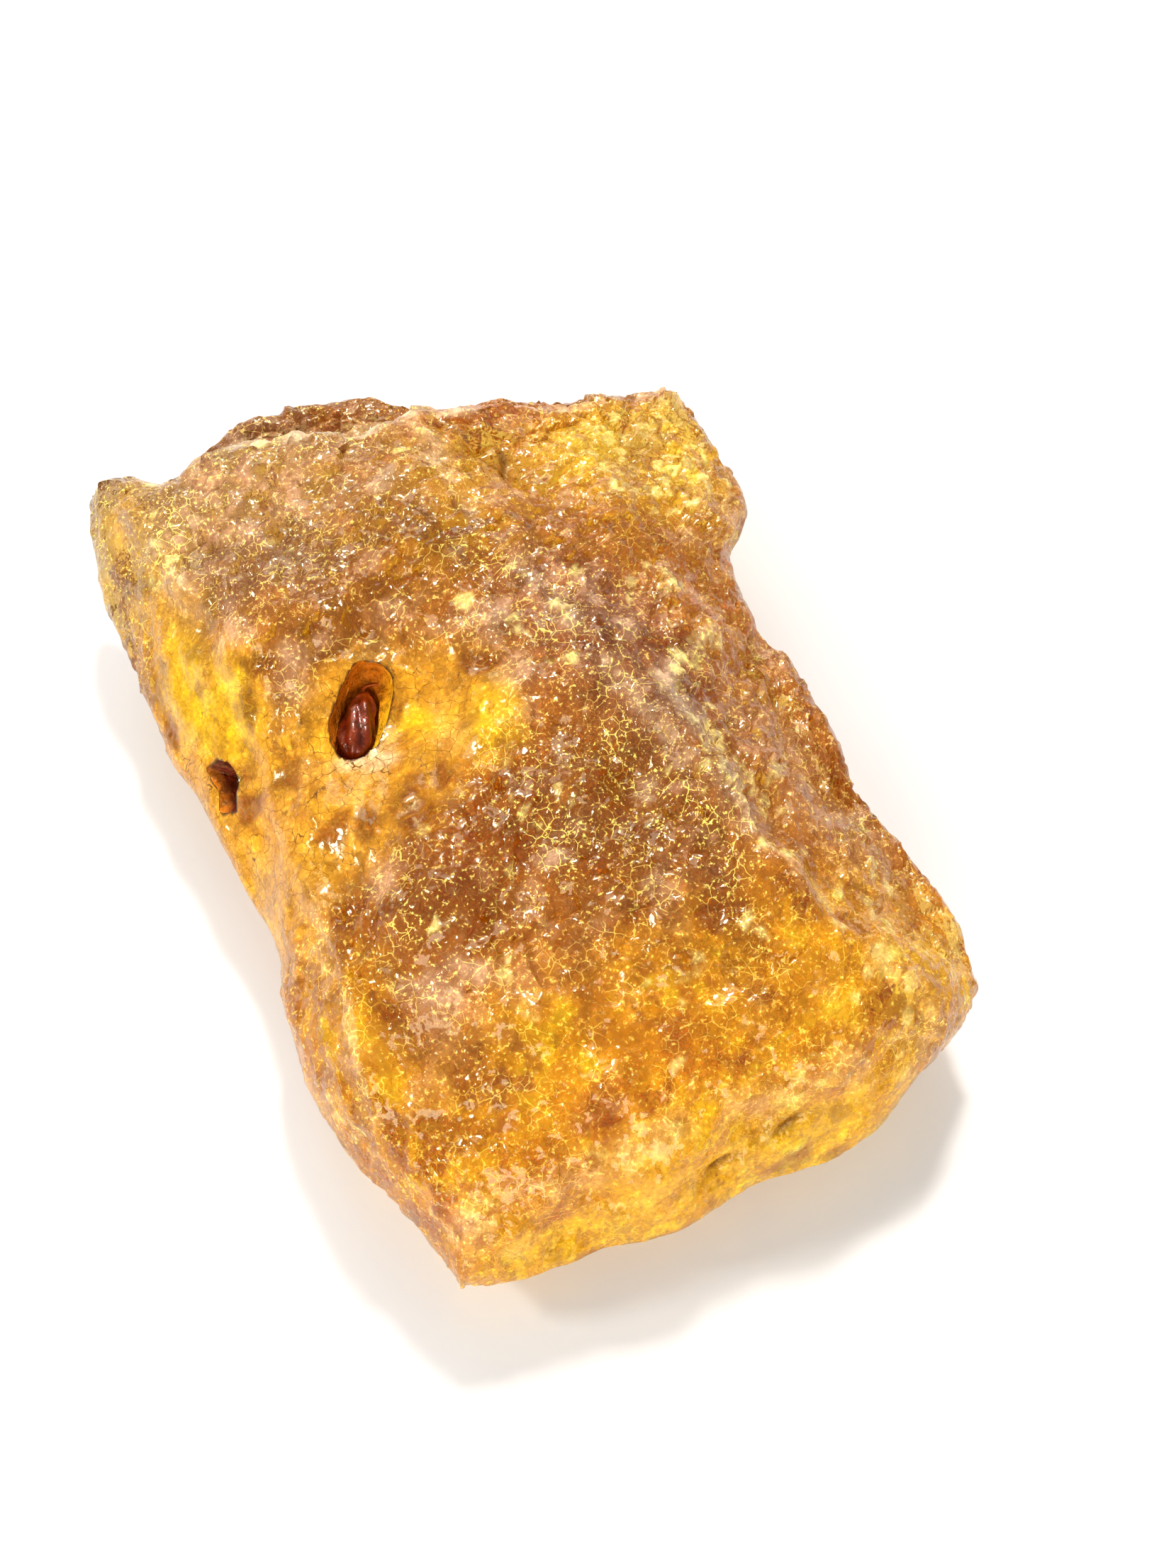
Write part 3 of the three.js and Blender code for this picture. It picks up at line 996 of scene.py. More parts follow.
    def painted_sheen_share(self, skin: SkinSample) -> Array:
        """Where the painted sheen lies: the greater of clouds and patches, and little on golden skin.

        Args:
            skin: What is known about the points.

        Returns:
            The share of painted sheen at each point.
        """
        cloudy = smoothstep(*self.painted_sheen_span, self.painted_sheen_cloud.at(skin.points))
        cloudy = np.maximum(cloudy, self.painted_sheen_in_patches * most_of(self.painted_sheen_patches, skin.points))
        cloudy *= 1.0 - (1.0 - self.painted_sheen_on_gold) * strongest(skin.zones, GOLDEN)
        return self.painted_sheen_strength * cloudy * (1.0 - self.painted_sheen_keys + self.painted_sheen_keys * skin.small.key[:, 1])

    def painted_glints(self, skin: SkinSample, edges: Array) -> Array:
        """Where pale glints are painted in: along edges, in clouds, and on the highlight spot.

        Args:
            skin: What is known about the points.
            edges: How near each point is to an edge of the top's facets.

        Returns:
            How much painted glint each point has.
        """
        painted_glint = edges * smoothstep(*self.painted_glint_span, self.painted_glint_cloud.at(skin.points))
        painted_glint *= 1.0 - strongest(skin.zones, self.painted_glint_spared)
        painted_glint = np.maximum(painted_glint, self.glossy.share(skin.points))
        return painted_glint * (1.0 - self.painted_glint_keys + self.painted_glint_keys * skin.small.key[:, 1])

    def apply(self, skin: SkinSample, edges: Array) -> dict[str, Array]:
        """Works out the named colours and values for the skin's material.

        The zones come first, then the painted sheen, the painted glints, nicks and flakes are laid over
        the crust. A scale's keys and the mottle make it lighter or darker, and clearer or hazier.

        Args:
            skin: What is known about the points.
            edges: How near each point is to an edge of the top's facets.

        Returns:
            Colours as rows of three and values as flat arrays, by attribute name.
        """
        satin = skin.zones[Zone.SATIN]
        tints = self.zoned(skin)
        sheltered = (1.0 - self.mottle_on_gold) * np.maximum(skin.zones[Zone.GLOW], satin)
        mottle = self.mottle.at(skin.points) * (1.0 - sheltered)
        keys = [cells.key[:, 1] - 0.5 for cells in (skin.large, skin.small)]
        lighter = 1.0 + self.key_light * keys[0] + self.key_light * keys[1] + self.mottle_light * mottle
        vary = self.haze_base + self.haze_vary * skin.small.key[:, 2] + self.haze_vary * mottle
        tints.haze *= self.haze_scale * np.clip(vary, *self.haze_limits)
        tints.haze *= (1.0 - self.chip_clears * skin.chipped) * (1.0 + self.satin_haze * satin)
        painted_sheen, painted_glint, flake = self.painted_sheen_share(skin), self.painted_glints(skin, edges), self.flakes(skin)
        tints.lay(painted_sheen, crust=self.painted_sheen)
        tints.lay(self.painted_glint_strength * painted_glint, crust=self.painted_glint)
        tints.lay(self.pale_haze * np.maximum(painted_sheen, painted_glint), haze=1.0)
        tints.lay(self.painted_glint_craze * painted_glint, craze=1.0)
        tints.lay(self.nick_strength * skin.nicked, crust=self.nick)
        tints.lay(self.nick_haze * skin.nicked, haze=1.0)
        tints.lay(skin.nicked, craze=0.0)
        tints.lay(self.flake_strength * flake, crust=self.flake)
        tints.lay(self.flake_haze * flake, haze=1.0)
        tints.clear *= (1.0 + self.clear_light * (lighter - 1.0))[:, None]
        return {
            "clear_tint": np.clip(tints.clear, 0.0, 1.0),
            "crust_tint": np.clip(tints.crust * lighter[:, None], 0.0, 1.0),
            "haze": np.clip(tints.haze, 0.0, 1.0),
            "craze": tints.craze,
            "rough": 1.0 - satin,
        }


# Materials
# ---------


Socket = bpy.types.NodeSocket
Grain = tuple[float, float, float]  # a noise's size in millimetres, its detail and its roughness
MIDDLE = (0.5, 0.5, 0.5)  # of three noises or keys from 0 to 1


@dataclass(frozen=True)
class Ramp:
    """A smooth change from start to end as a value goes from low to high."""

    low: float
    high: float
    start: float = 0.0
    end: float = 1.0


@dataclass(frozen=True)
class Inside:
    """The clear resin under every surface of the slab: how it bends light and takes it away."""

    ior: float = 1.54
    absorption: Rgb = (0.994, 0.865, 0.0)
    density: float = 320.0  # per metre


class Desk:
    """One material's node tree, with a short way to add nodes and join them."""

    def __init__(self, name: str) -> None:
        """Starts an empty tree with an output node.

        Args:
            name: Name of the material.
        """
        self.material = bpy.data.materials.new(name)
        self.material.use_nodes = True
        self.tree = self.material.node_tree
        self.tree.nodes.clear()
        self.output = self.tree.nodes.new("ShaderNodeOutputMaterial")

    def node(self, kind: str, inputs: dict | None = None, **settings: object) -> bpy.types.Node:
        """Adds a node.

        Args:
            kind: Blender's name for the node type, without "ShaderNode".
            inputs: Value or output socket for each input, by name or number. A colour is given
                as three numbers.
            settings: Properties of the node.

        Returns:
            The node.
        """
        made = self.tree.nodes.new("ShaderNode" + kind)
        for key, value in settings.items():
            setattr(made, key, value)
        for key, value in (inputs or {}).items():
            if isinstance(value, Socket):
                self.tree.links.new(value, made.inputs[key])
            elif made.inputs[key].type == "RGBA":
                made.inputs[key].default_value = (*value, 1.0)
            else:
                made.inputs[key].default_value = value
        return made

    def math(self, operation: str, *values: object, clamp: bool = False) -> Socket:
        """The result of a Math node on the values."""
        return self.node("Math", dict(enumerate(values)), operation=operation, use_clamp=clamp).outputs[0]

    def vector(self, operation: str, *values: object) -> Socket:
        """The vector that a Vector Math node gives."""
        return self.node("VectorMath", dict(enumerate(values)), operation=operation).outputs[0]

    def scaled(self, value: object, share: object) -> Socket:
        """A vector or colour times a number."""
        return self.node("VectorMath", {0: value, "Scale": share}, operation="SCALE").outputs[0]

    def along(self, place: object, way: Point) -> Socket:
        """The dot product of a place and a direction."""
        return self.node("VectorMath", {0: place, 1: way}, operation="DOT_PRODUCT").outputs["Value"]

    def attribute(self, name: str, output: str = "Fac") -> Socket:
        """A named value that the mesh carries, or with the output "Color", a named colour."""
        return self.node("Attribute", attribute_name=name).outputs[output]

    def ease(self, value: object, ramp: Ramp) -> Socket:
        """The ramp's value, eased as 3t² - 2t³."""
        inputs = {0: value, 1: ramp.low, 2: ramp.high, 3: ramp.start, 4: ramp.end}
        return self.node("MapRange", inputs, interpolation_type="SMOOTHSTEP").outputs[0]

    def blend(self, share: object, first: object, second: object) -> Socket:
        """The first colour, with the second laid over it by its share."""
        return self.node("Mix", {0: share, 6: first, 7: second}, data_type="RGBA").outputs[2]

    def millimetres(self) -> Socket:
        """The piece's own coordinates, in millimetres."""
        return self.scaled(self.node("TexCoord").outputs["Object"], 1.0 / MM)

    def noise(self, place: object, grain: Grain, output: str = "Fac") -> Socket:
        """Noise from 0 to 1, or with the output "Color", three such noises."""
        inputs = {"Vector": place, "Scale": 1.0 / grain[0], "Detail": grain[1], "Roughness": grain[2]}
        return self.node("TexNoise", inputs).outputs[output]

    def bent(self, place: object, size: float, reach: float) -> Socket:
        """A place pushed about by noise of a given size, by no more than the reach along each axis."""
        push = self.vector("SUBTRACT", self.noise(place, (size, 2.0, 0.5), "Color"), MIDDLE)
        return self.vector("ADD", place, self.scaled(push, 2.0 * reach))

    def cracks(self, place: object, size: float, width: float) -> Socket:
        """1 on the sides of irregular cells, eased to 0 at the width from them."""
        edge = self.node("TexVoronoi", {"Vector": place, "Scale": 1.0 / size}, feature="DISTANCE_TO_EDGE")
        return self.ease(edge.outputs["Distance"], Ramp(0.0, width / size, 1.0, 0.0))

    def bump(self, height: object) -> Socket:
        """The surface's normal, tilted as if it stood up by a height in millimetres."""
        return self.node("Bump", {"Strength": 1.0, "Distance": MM, "Height": height}).outputs["Normal"]

    def shader(self, **inputs: object) -> Socket:
        """A principled shader; underscores in the names of its inputs stand for spaces."""
        named = {name.replace("_", " "): value for name, value in inputs.items()}
        return self.node("BsdfPrincipled", named).outputs["BSDF"]

    def finished(self, surface: Socket, inside: Inside | None = None) -> bpy.types.Material:
        """Joins the shaders to the output.

        Args:
            surface: Shader of the surface.
            inside: What light meets under the surface, if it is see-through.

        Returns:
            The material.
        """
        self.tree.links.new(surface, self.output.inputs["Surface"])
        if inside:
            inputs = {"Color": inside.absorption, "Density": inside.density}
            volume = self.node("VolumeAbsorption", inputs).outputs["Volume"]
            self.tree.links.new(volume, self.output.inputs["Volume"])
        return self.material


@dataclass(frozen=True)
class ResinSkin:
    """See-through golden resin under a crazed, scaly crust.

    Two shaders are mixed by how much crust there is: clear resin, coloured by the absorption
    inside, and a dull crust with a colour of its own.
    """

    name: str = "crazed resin"
    # The pale flecks are partly painted sparkle: pale specks of crust that stand in for glints.
    pale: Rgb = (1.0, 0.84, 0.17)  # threads and flecks
    hairline: Rgb = (0.13, 0.035, 0.002)  # cracks in smooth skin
    sheen: Rgb = (1.0, 0.80, 0.32)
    glint: Rgb = (1.0, 0.92, 0.66)
    bend: Plan = (0.6, 0.18)  # size and reach of the noise that bends the place
    grain: Grain = (0.2, 3.0, 0.7)
    flecks: Ramp = Ramp(0.57, 0.67)  # of the grain
    dimming: Ramp = Ramp(0.3, 0.65, 0.72, 1.15)  # of the crust, by the grain
    net: Plan = (0.65, 0.024)  # size of the net's meshes and half width of its threads, in mm
    net_places: Grain = (1.7, 2.0, 0.5)
    net_grain: float = 0.3
    net_where: Ramp = Ramp(0.56, 0.78)
    facet_size: float = 0.24  # mm
    tilts: Plan = (0.32, 0.45)  # of the clear resin's facets and of the crust's, on rough skin
    smooth_tilt: float = 0.35  # share of the tilt that is left on smooth skin
    roughness: Plan = (0.11, 0.2)  # of the clear resin and the crust
    # From smooth skin to rough.
    net_reach: Ramp = Ramp(0.0, 1.0, 0.42, 0.0)
    net_strength: Ramp = Ramp(0.0, 1.0, 1.3, 0.95)
    fleck_strength: Ramp = Ramp(0.0, 1.0, 0.2, 1.0)
    line_change: Ramp = Ramp(0.45, 0.85)
    bump: Ramp = Ramp(0.0, 1.0, 0.04, 0.07)

    def build(self, inside: Inside) -> bpy.types.Material:
        """Builds the material.

        Args:
            inside: The resin under the skin.

        Returns:
            The finished material.
        """
        desk = Desk(self.name)
        place = desk.millimetres()
        bent = desk.bent(place, *self.bend)
        grain = desk.noise(place, self.grain)
        rough, craze = desk.attribute("rough"), desk.attribute("craze")
        thread = desk.math("MULTIPLY", self.threads(desk, place, bent, grain, rough), craze)
        crazed = desk.math("MULTIPLY", craze, desk.ease(rough, self.fleck_strength))
        # Pale flecks from the grain, partly painted sparkle in place of glints.
        fleck = desk.math("MULTIPLY", desk.ease(grain, self.flecks), crazed)
        colour = desk.scaled(desk.attribute("crust_tint", "Color"), desk.ease(grain, self.dimming))
        colour = desk.blend(fleck, colour, self.pale)
        line = desk.blend(desk.ease(rough, self.line_change), self.hairline, self.pale)
        colour = desk.blend(thread, colour, line)
        share = desk.math("ADD", desk.attribute("haze"), desk.math("MAXIMUM", thread, fleck), clamp=True)
        bump = desk.bump(desk.math("MULTIPLY", grain, desk.ease(rough, self.bump)))
        flat = desk.node("NewGeometry").outputs["Normal"]
        keys = desk.node("TexVoronoi", {"Vector": bent, "Scale": 1.0 / self.facet_size}).outputs["Color"]
        clear = desk.shader(
            Base_Color=desk.attribute("clear_tint", "Color"), Roughness=self.roughness[0], IOR=inside.ior,
            Transmission_Weight=1.0, Specular_Tint=self.glint,
            Normal=self.facets(desk, keys, rough, self.tilts[0], flat),
        )
        crust = desk.shader(
            Base_Color=colour, Roughness=self.roughness[1], IOR=inside.ior, Specular_Tint=self.sheen,
            Normal=self.facets(desk, keys, rough, self.tilts[1], bump),
        )
        mixed = desk.node("MixShader", {0: share, 1: clear, 2: crust}).outputs[0]
        return desk.finished(mixed, inside)

    def threads(self, desk: Desk, place: Socket, bent: Socket, grain: Socket, rough: Socket) -> Socket:
        """Lines along the cracks, everywhere on smooth skin and only in some places elsewhere.

        Args:
            desk: The material in the making.
            place: The place.
            bent: The bent place.
            grain: The fine noise.
            rough: How rough the skin is.

        Returns:
            How much of a thread the place is.
        """
        where = desk.math("MULTIPLY", grain, self.net_grain)
        where = desk.math("ADD", desk.noise(place, self.net_places), where)
        where = desk.math("ADD", where, desk.ease(rough, self.net_reach))
        net = desk.math("MULTIPLY", desk.cracks(bent, *self.net), desk.ease(rough, self.net_strength))
        return desk.math("MULTIPLY", net, desk.ease(where, self.net_where))

    def facets(self, desk: Desk, keys: Socket, rough: Socket, tilt: float, normal: Socket) -> Socket:
        """The normal, tilted its own way in each small cell.

        Args:
            desk: The material in the making.
            keys: A random colour for each cell.
            rough: How rough the skin is.
            tilt: How far the normal is pushed on rough skin.
            normal: The normal to tilt.

        Returns:
            The tilted normal.
        """
        share = desk.ease(rough, Ramp(0.0, 1.0, self.smooth_tilt * tilt, tilt))
        lean = desk.scaled(desk.vector("SUBTRACT", keys, MIDDLE), share)
        return desk.vector("NORMALIZE", desk.vector("ADD", normal, lean))


@dataclass(frozen=True)
class WallResin:
    """Bare resin on the walls of a pit: one colour eases to another, and grain dims both."""

    name: str  # name of the material
    first: Rgb  # colour at the start of the change
    second: Rgb  # colour at its end
    sheen: Rgb  # tint of the gloss
    way: Point  # direction in which the colour changes
    span: Ramp  # where along it the colour changes
    bend: Plan  # size and reach of the noise that bends the place
    grain: Grain  # the grain's noise
    dimming: Ramp  # how the grain dims the colour
    bump: float  # height of the grain
    roughness: float  # roughness of the gloss
    transmission: float = 0.1  # share of light that goes through

    def build(self, inside: Inside) -> bpy.types.Material:
        """Builds the material.

        Args:
            inside: The resin under the wall.

        Returns:
            The finished material.
        """
        desk = Desk(self.name)
        bent = desk.bent(desk.millimetres(), *self.bend)
        colour = desk.blend(desk.ease(desk.along(bent, self.way), self.span), self.first, self.second)
        grain = desk.noise(bent, self.grain)
        surface = desk.shader(
            Base_Color=desk.scaled(colour, desk.ease(grain, self.dimming)), Roughness=self.roughness,
            IOR=inside.ior, Transmission_Weight=self.transmission, Specular_Tint=self.sheen,
            Normal=desk.bump(desk.math("MULTIPLY", grain, self.bump)),
        )
        return desk.finished(surface, inside)


# The pit's walls ease from deep orange to bright yellow-orange towards the right wall. The bright side is
# painted light, standing in for light that comes through the resin onto that wall.
PIT_RESIN = WallResin(
    "pit resin", first=(0.52, 0.13, 0.004), second=(1.0, 0.50, 0.01), sheen=(1.0, 0.7, 0.2),
    way=(1.0, -0.8, 0.0), span=Ramp(-9.2, -7.5), bend=(0.6, 0.2), grain=(0.35, 4.0, 0.65),
    dimming=Ramp(0.32, 0.58, 0.5, 1.2), bump=0.35, roughness=0.2,
)
# The notch's walls ease from orange-brown to dark red across it.
NOTCH_RESIN = WallResin(
    "notch resin", first=(0.72, 0.20, 0.008), second=(0.085, 0.005, 0.001), sheen=(1.0, 0.5, 0.15),
    way=(0.6, -0.1, 0.5), span=Ramp(-5.9, -5.3), bend=(0.5, 0.25), grain=(0.45, 4.0, 0.6),
    dimming=Ramp(0.35, 0.62, 0.4, 1.0), bump=0.15, roughness=0.22,
)


@dataclass(frozen=True)
class HuskSkin:
    """Glossy dark red-brown husk, paler on the crests between its grooves and towards its wisp."""

    name: str = "glossy husk"
    dark: Rgb = (0.028, 0.002, 0.0005)
    red: Rgb = (0.10, 0.005, 0.0008)
    pale: Rgb = (0.50, 0.085, 0.006)
    sheen: Rgb = (1.0, 0.40, 0.22)
    bend: Plan = (0.5, 0.15)
    streak: Grain = (0.5, 4.0, 0.6)
    streaks: Ramp = Ramp(0.35, 0.6)
    crest_share: float = 0.12
    tip_way: Point = (0.47, 0.88, 0.0)
    tip: Ramp = Ramp(0.6, 1.7, 0.0, 0.8)
    grain: Grain = (0.14, 4.0, 0.6)
    bump: float = 0.04
    roughness: float = 0.2
    coat: Plan = (0.35, 0.05)  # weight and roughness

    def build(self) -> bpy.types.Material:
        """Builds the material.

        Returns:
            The finished material.
        """
        desk = Desk(self.name)
        place = desk.millimetres()
        streaks = desk.noise(desk.bent(place, *self.bend), self.streak)
        colour = desk.blend(desk.ease(streaks, self.streaks), self.dark, self.red)
        crest = desk.math("MULTIPLY", desk.attribute("crest"), self.crest_share)
        tip = desk.ease(desk.along(place, self.tip_way), self.tip)
        return desk.finished(desk.shader(
            Base_Color=desk.blend(desk.math("MAXIMUM", crest, tip), colour, self.pale),
            Roughness=self.roughness, Specular_Tint=self.sheen,
            Coat_Weight=self.coat[0], Coat_Roughness=self.coat[1],
            Normal=desk.bump(desk.math("MULTIPLY", desk.noise(place, self.grain), self.bump)),
        ))


# Pieces
# ------


@dataclass(frozen=True)
class Bowl:
    """A hollow cut down from the top: an outline in plan, steep walls and a rounded floor."""

    at: Plan  # centre in plan
    outline: tuple[Plan, ...]  # offsets of the rim from the centre, in plan, anticlockwise
    depth: float  # depth under the surface at the centre
    wall: Ripple  # roughness of the walls
    mouth: float = 1.2  # how far the cutting solid stands over the surface
    steepness: float = 0.45  # power of the walls' narrowing; nearer 0 is steeper
    rings: int = 26  # rings of points down the walls
    around: int = 96  # points round each ring

    def tool(self, form: SlabForm) -> Surface:
        """The cutting solid.

        Above the surface it is a prism on the outline. Below, ring by ring, the depth is
        depth · sin(a) and the outline's scale is cos(a)^steepness, for a up to a right angle.

        Args:
            form: The slab, for the height of its top.

        Returns:
            The closed solid, with rough walls.
        """
        closed = curve_points(np.array(self.outline, float), closed=True)
        loop = at_shares(np.vstack([closed, closed[:1]]), np.arange(self.around) / self.around)
        top = form.surface_height(*self.at)
        angle = np.linspace(0, math.pi / 2, self.rings + 1)[:-1]
        scales = np.concatenate([[1.0], np.cos(angle) ** self.steepness])
        heights = np.concatenate([[self.mouth], -self.depth * np.sin(angle)])
        rings = np.zeros((len(scales), self.around, 3))
        rings[..., :2] = np.array(self.at) + scales[:, None, None] * loop[None]
        rings[..., 2] = top + heights[:, None]
        centre = np.array([*self.at, top])
        solid = ring_surface(rings[::-1], centre - [0, 0, self.depth], centre + [0, 0, self.mouth])
        solid.roughen((self.wall,))
        return solid


@dataclass(frozen=True)
class Notch:
    """An angular notch in the left slope, with flat walls down to one deepest point."""

    at: Point = (-13.04, 4.11, 6.1)  # its place on the slope
    across: Point = (0.605, -0.577, 0.555)  # direction across the slope
    along: Point = (0.325, 0.766, 0.564)  # direction along the slope
    outline: tuple[Plan, ...] = (  # corners in the slope, across and along
        (-1.15, 0.76), (-0.67, -0.05), (-0.33, -1.19), (0.22, -1.41), (0.72, -1.29),
        (0.74, -0.36), (0.95, 0.19), (0.63, 0.76), (0.17, 1.14), (-0.38, 1.21),
    )
    deepest: Plan = (0.44, 0.12)  # where it is deepest, across and along
    depth: float = 1.4  # depth there
    reach: float = 0.6  # how far the cutting solid stands out of the slope
    rings: int = 18  # rings of points down the walls
    along_side: int = 8  # points on each side of the outline
    wall: Ripple = Ripple(0.05, 0.5, 91, 3)  # roughness of the walls

    def tool(self) -> Surface:
        """The cutting solid.

        Its rings run from past the slope to the deepest point, and their size falls evenly, so
        that the walls are straight.

        Returns:
            The closed solid, with rough walls.
        """
        across, along = np.array(self.across), np.array(self.along)
        outwards = np.cross(across, along)
        outwards /= np.linalg.norm(outwards)
        corners = np.array(self.outline)
        shares = (np.arange(self.along_side) / self.along_side)[None, :, None]
        loop = corners[:, None] + shares * (np.roll(corners, -1, axis=0) - corners)[:, None]
        loop = loop.reshape(-1, 2)
        levels = np.linspace(self.reach, -self.depth, self.rings + 1)[:-1]
        flare = (levels + self.depth) / self.depth
        plan = np.array(self.deepest) + flare[:, None, None] * (loop - self.deepest)[None]
        rings = np.array(self.at) + plan[..., :1] * across + plan[..., 1:] * along
        rings = rings + levels[:, None, None] * outwards
        foot = np.array(self.at) + self.deepest[0] * across + self.deepest[1] * along
        solid = ring_surface(rings[::-1], foot - self.depth * outwards, foot + self.reach * outwards)
        solid.roughen((self.wall,))
        return solid


@dataclass
class CopalBody:
    """The resin slab, with its skin, the larger pit and the notch."""

    form: SlabForm  # its broad form
    relief: SkinRelief  # its skin's relief
    paint: SkinPaint  # its skin's colours
    cells_across: int = 178  # cells of each sheet across the slab
    cells_along: int = 250  # cells along it
    crowding: float = 0.35  # how much the cells crowd at the rim
    edges_above: float = 5.0  # height over which the edges between facets can carry painted glints
    sharp: float = 55.0  # least angle between faces that shows as a sharp edge, in degrees
    # How the borders of the zones wander, across and along.
    sway: tuple[Ripple, Ripple] = (Ripple(0.9, 3.0, 301, 3), Ripple(0.9, 3.0, 311, 3))
    pit: Bowl = Bowl(  # the larger pit's shallow, wide part
        at=(-6.28, 4.02),
        outline=(
            (0.45, 1.35), (-0.38, 0.8), (-0.99, 0.2), (-1.71, -0.67), (-1.86, -1.68),
            (-1.44, -2.26), (-0.91, -2.52), (-0.1, -2.38), (0.46, -1.81), (1.08, -0.9),
            (1.48, -0.25), (1.66, 0.35), (1.5, 0.9), (1.05, 1.25),
        ),
        depth=1.0,
        wall=Ripple(0.09, 0.7, 201, 3),
    )
    slot: Bowl = Bowl(  # its deep part, which holds the husk
        at=(-6.62, 3.62),
        outline=(
            (0.9, 1.6), (0.35, 1.45), (-0.45, 0.75), (-1.2, -0.6), (-1.5, -1.55), (-1.05, -2.1),
            (-0.45, -2.2), (0.2, -1.6), (0.9, -0.35), (1.25, 0.6), (1.2, 1.3),
        ),
        depth=2.1,
        wall=Ripple(0.09, 0.7, 211, 3),
    )
    notch: Notch = Notch()  # the smaller pit

    def zones(self, points: Array) -> Shares:
        """The greatest share of each zone's patches at each point, swayed.

        Args:
            points: Places, one per row.

        Returns:
            The share of each zone at each point.
        """
        swayed = points.copy()
        for axis, ripple in enumerate(self.sway):
            swayed[:, axis] += ripple.at(points)
        return {zone: most_of(look.patches, swayed) for zone, look in ZONE_LOOKS.items()}

    def build(self, skin: ResinSkin, inside: Inside) -> bpy.types.Object:
        """Builds the body, cuts the pits and dresses it.

        Args:
            skin: Finish of the skin.
            inside: The resin under it.

        Returns:
            The finished object.
        """
        slab = self.form.surface(self.cells_across, self.cells_along, self.crowding)
        sample = self.relief.apply(slab, self.zones(slab.points))
        x, y, z = sample.points.T
        edges = self.form.edge_share(x - CENTRING[0], y - CENTRING[1]) * (z > self.edges_above)
        body = slab.to_object("copal_body", self.paint.apply(sample, edges))
        body.data.materials.append(skin.build(inside))
        walls, notch_walls = PIT_RESIN.build(inside), NOTCH_RESIN.build(inside)
        for bowl in (self.pit, self.slot):
            self.cut(body, bowl.tool(self.form), walls)
        self.cut(body, self.notch.tool(), notch_walls)
        body.data.set_sharp_from_angle(angle=math.radians(self.sharp))
        return body

    @staticmethod
    def cut(body: bpy.types.Object, tool: Surface, finish: bpy.types.Material) -> None:
        """Cuts a solid out of the body and gives the new walls its finish.

        Args:
            body: Object to cut, changed in place.
            tool: Solid to take away.
            finish: Material of the walls.
        """
        cutter = tool.to_object("cutter")
        cutter.data.materials.append(finish)
        step = body.modifiers.new("cut", "BOOLEAN")
        step.operation = "DIFFERENCE"
        step.object = cutter
        step.solver = "EXACT"
        step.material_mode = "TRANSFER"
        shown = body.evaluated_get(bpy.context.evaluated_depsgraph_get())
        made = bpy.data.meshes.new_from_object(shown)
        body.modifiers.clear()
        body.data = made
        cutter_mesh = cutter.data
        bpy.data.objects.remove(cutter)
        bpy.data.meshes.remove(cutter_mesh)


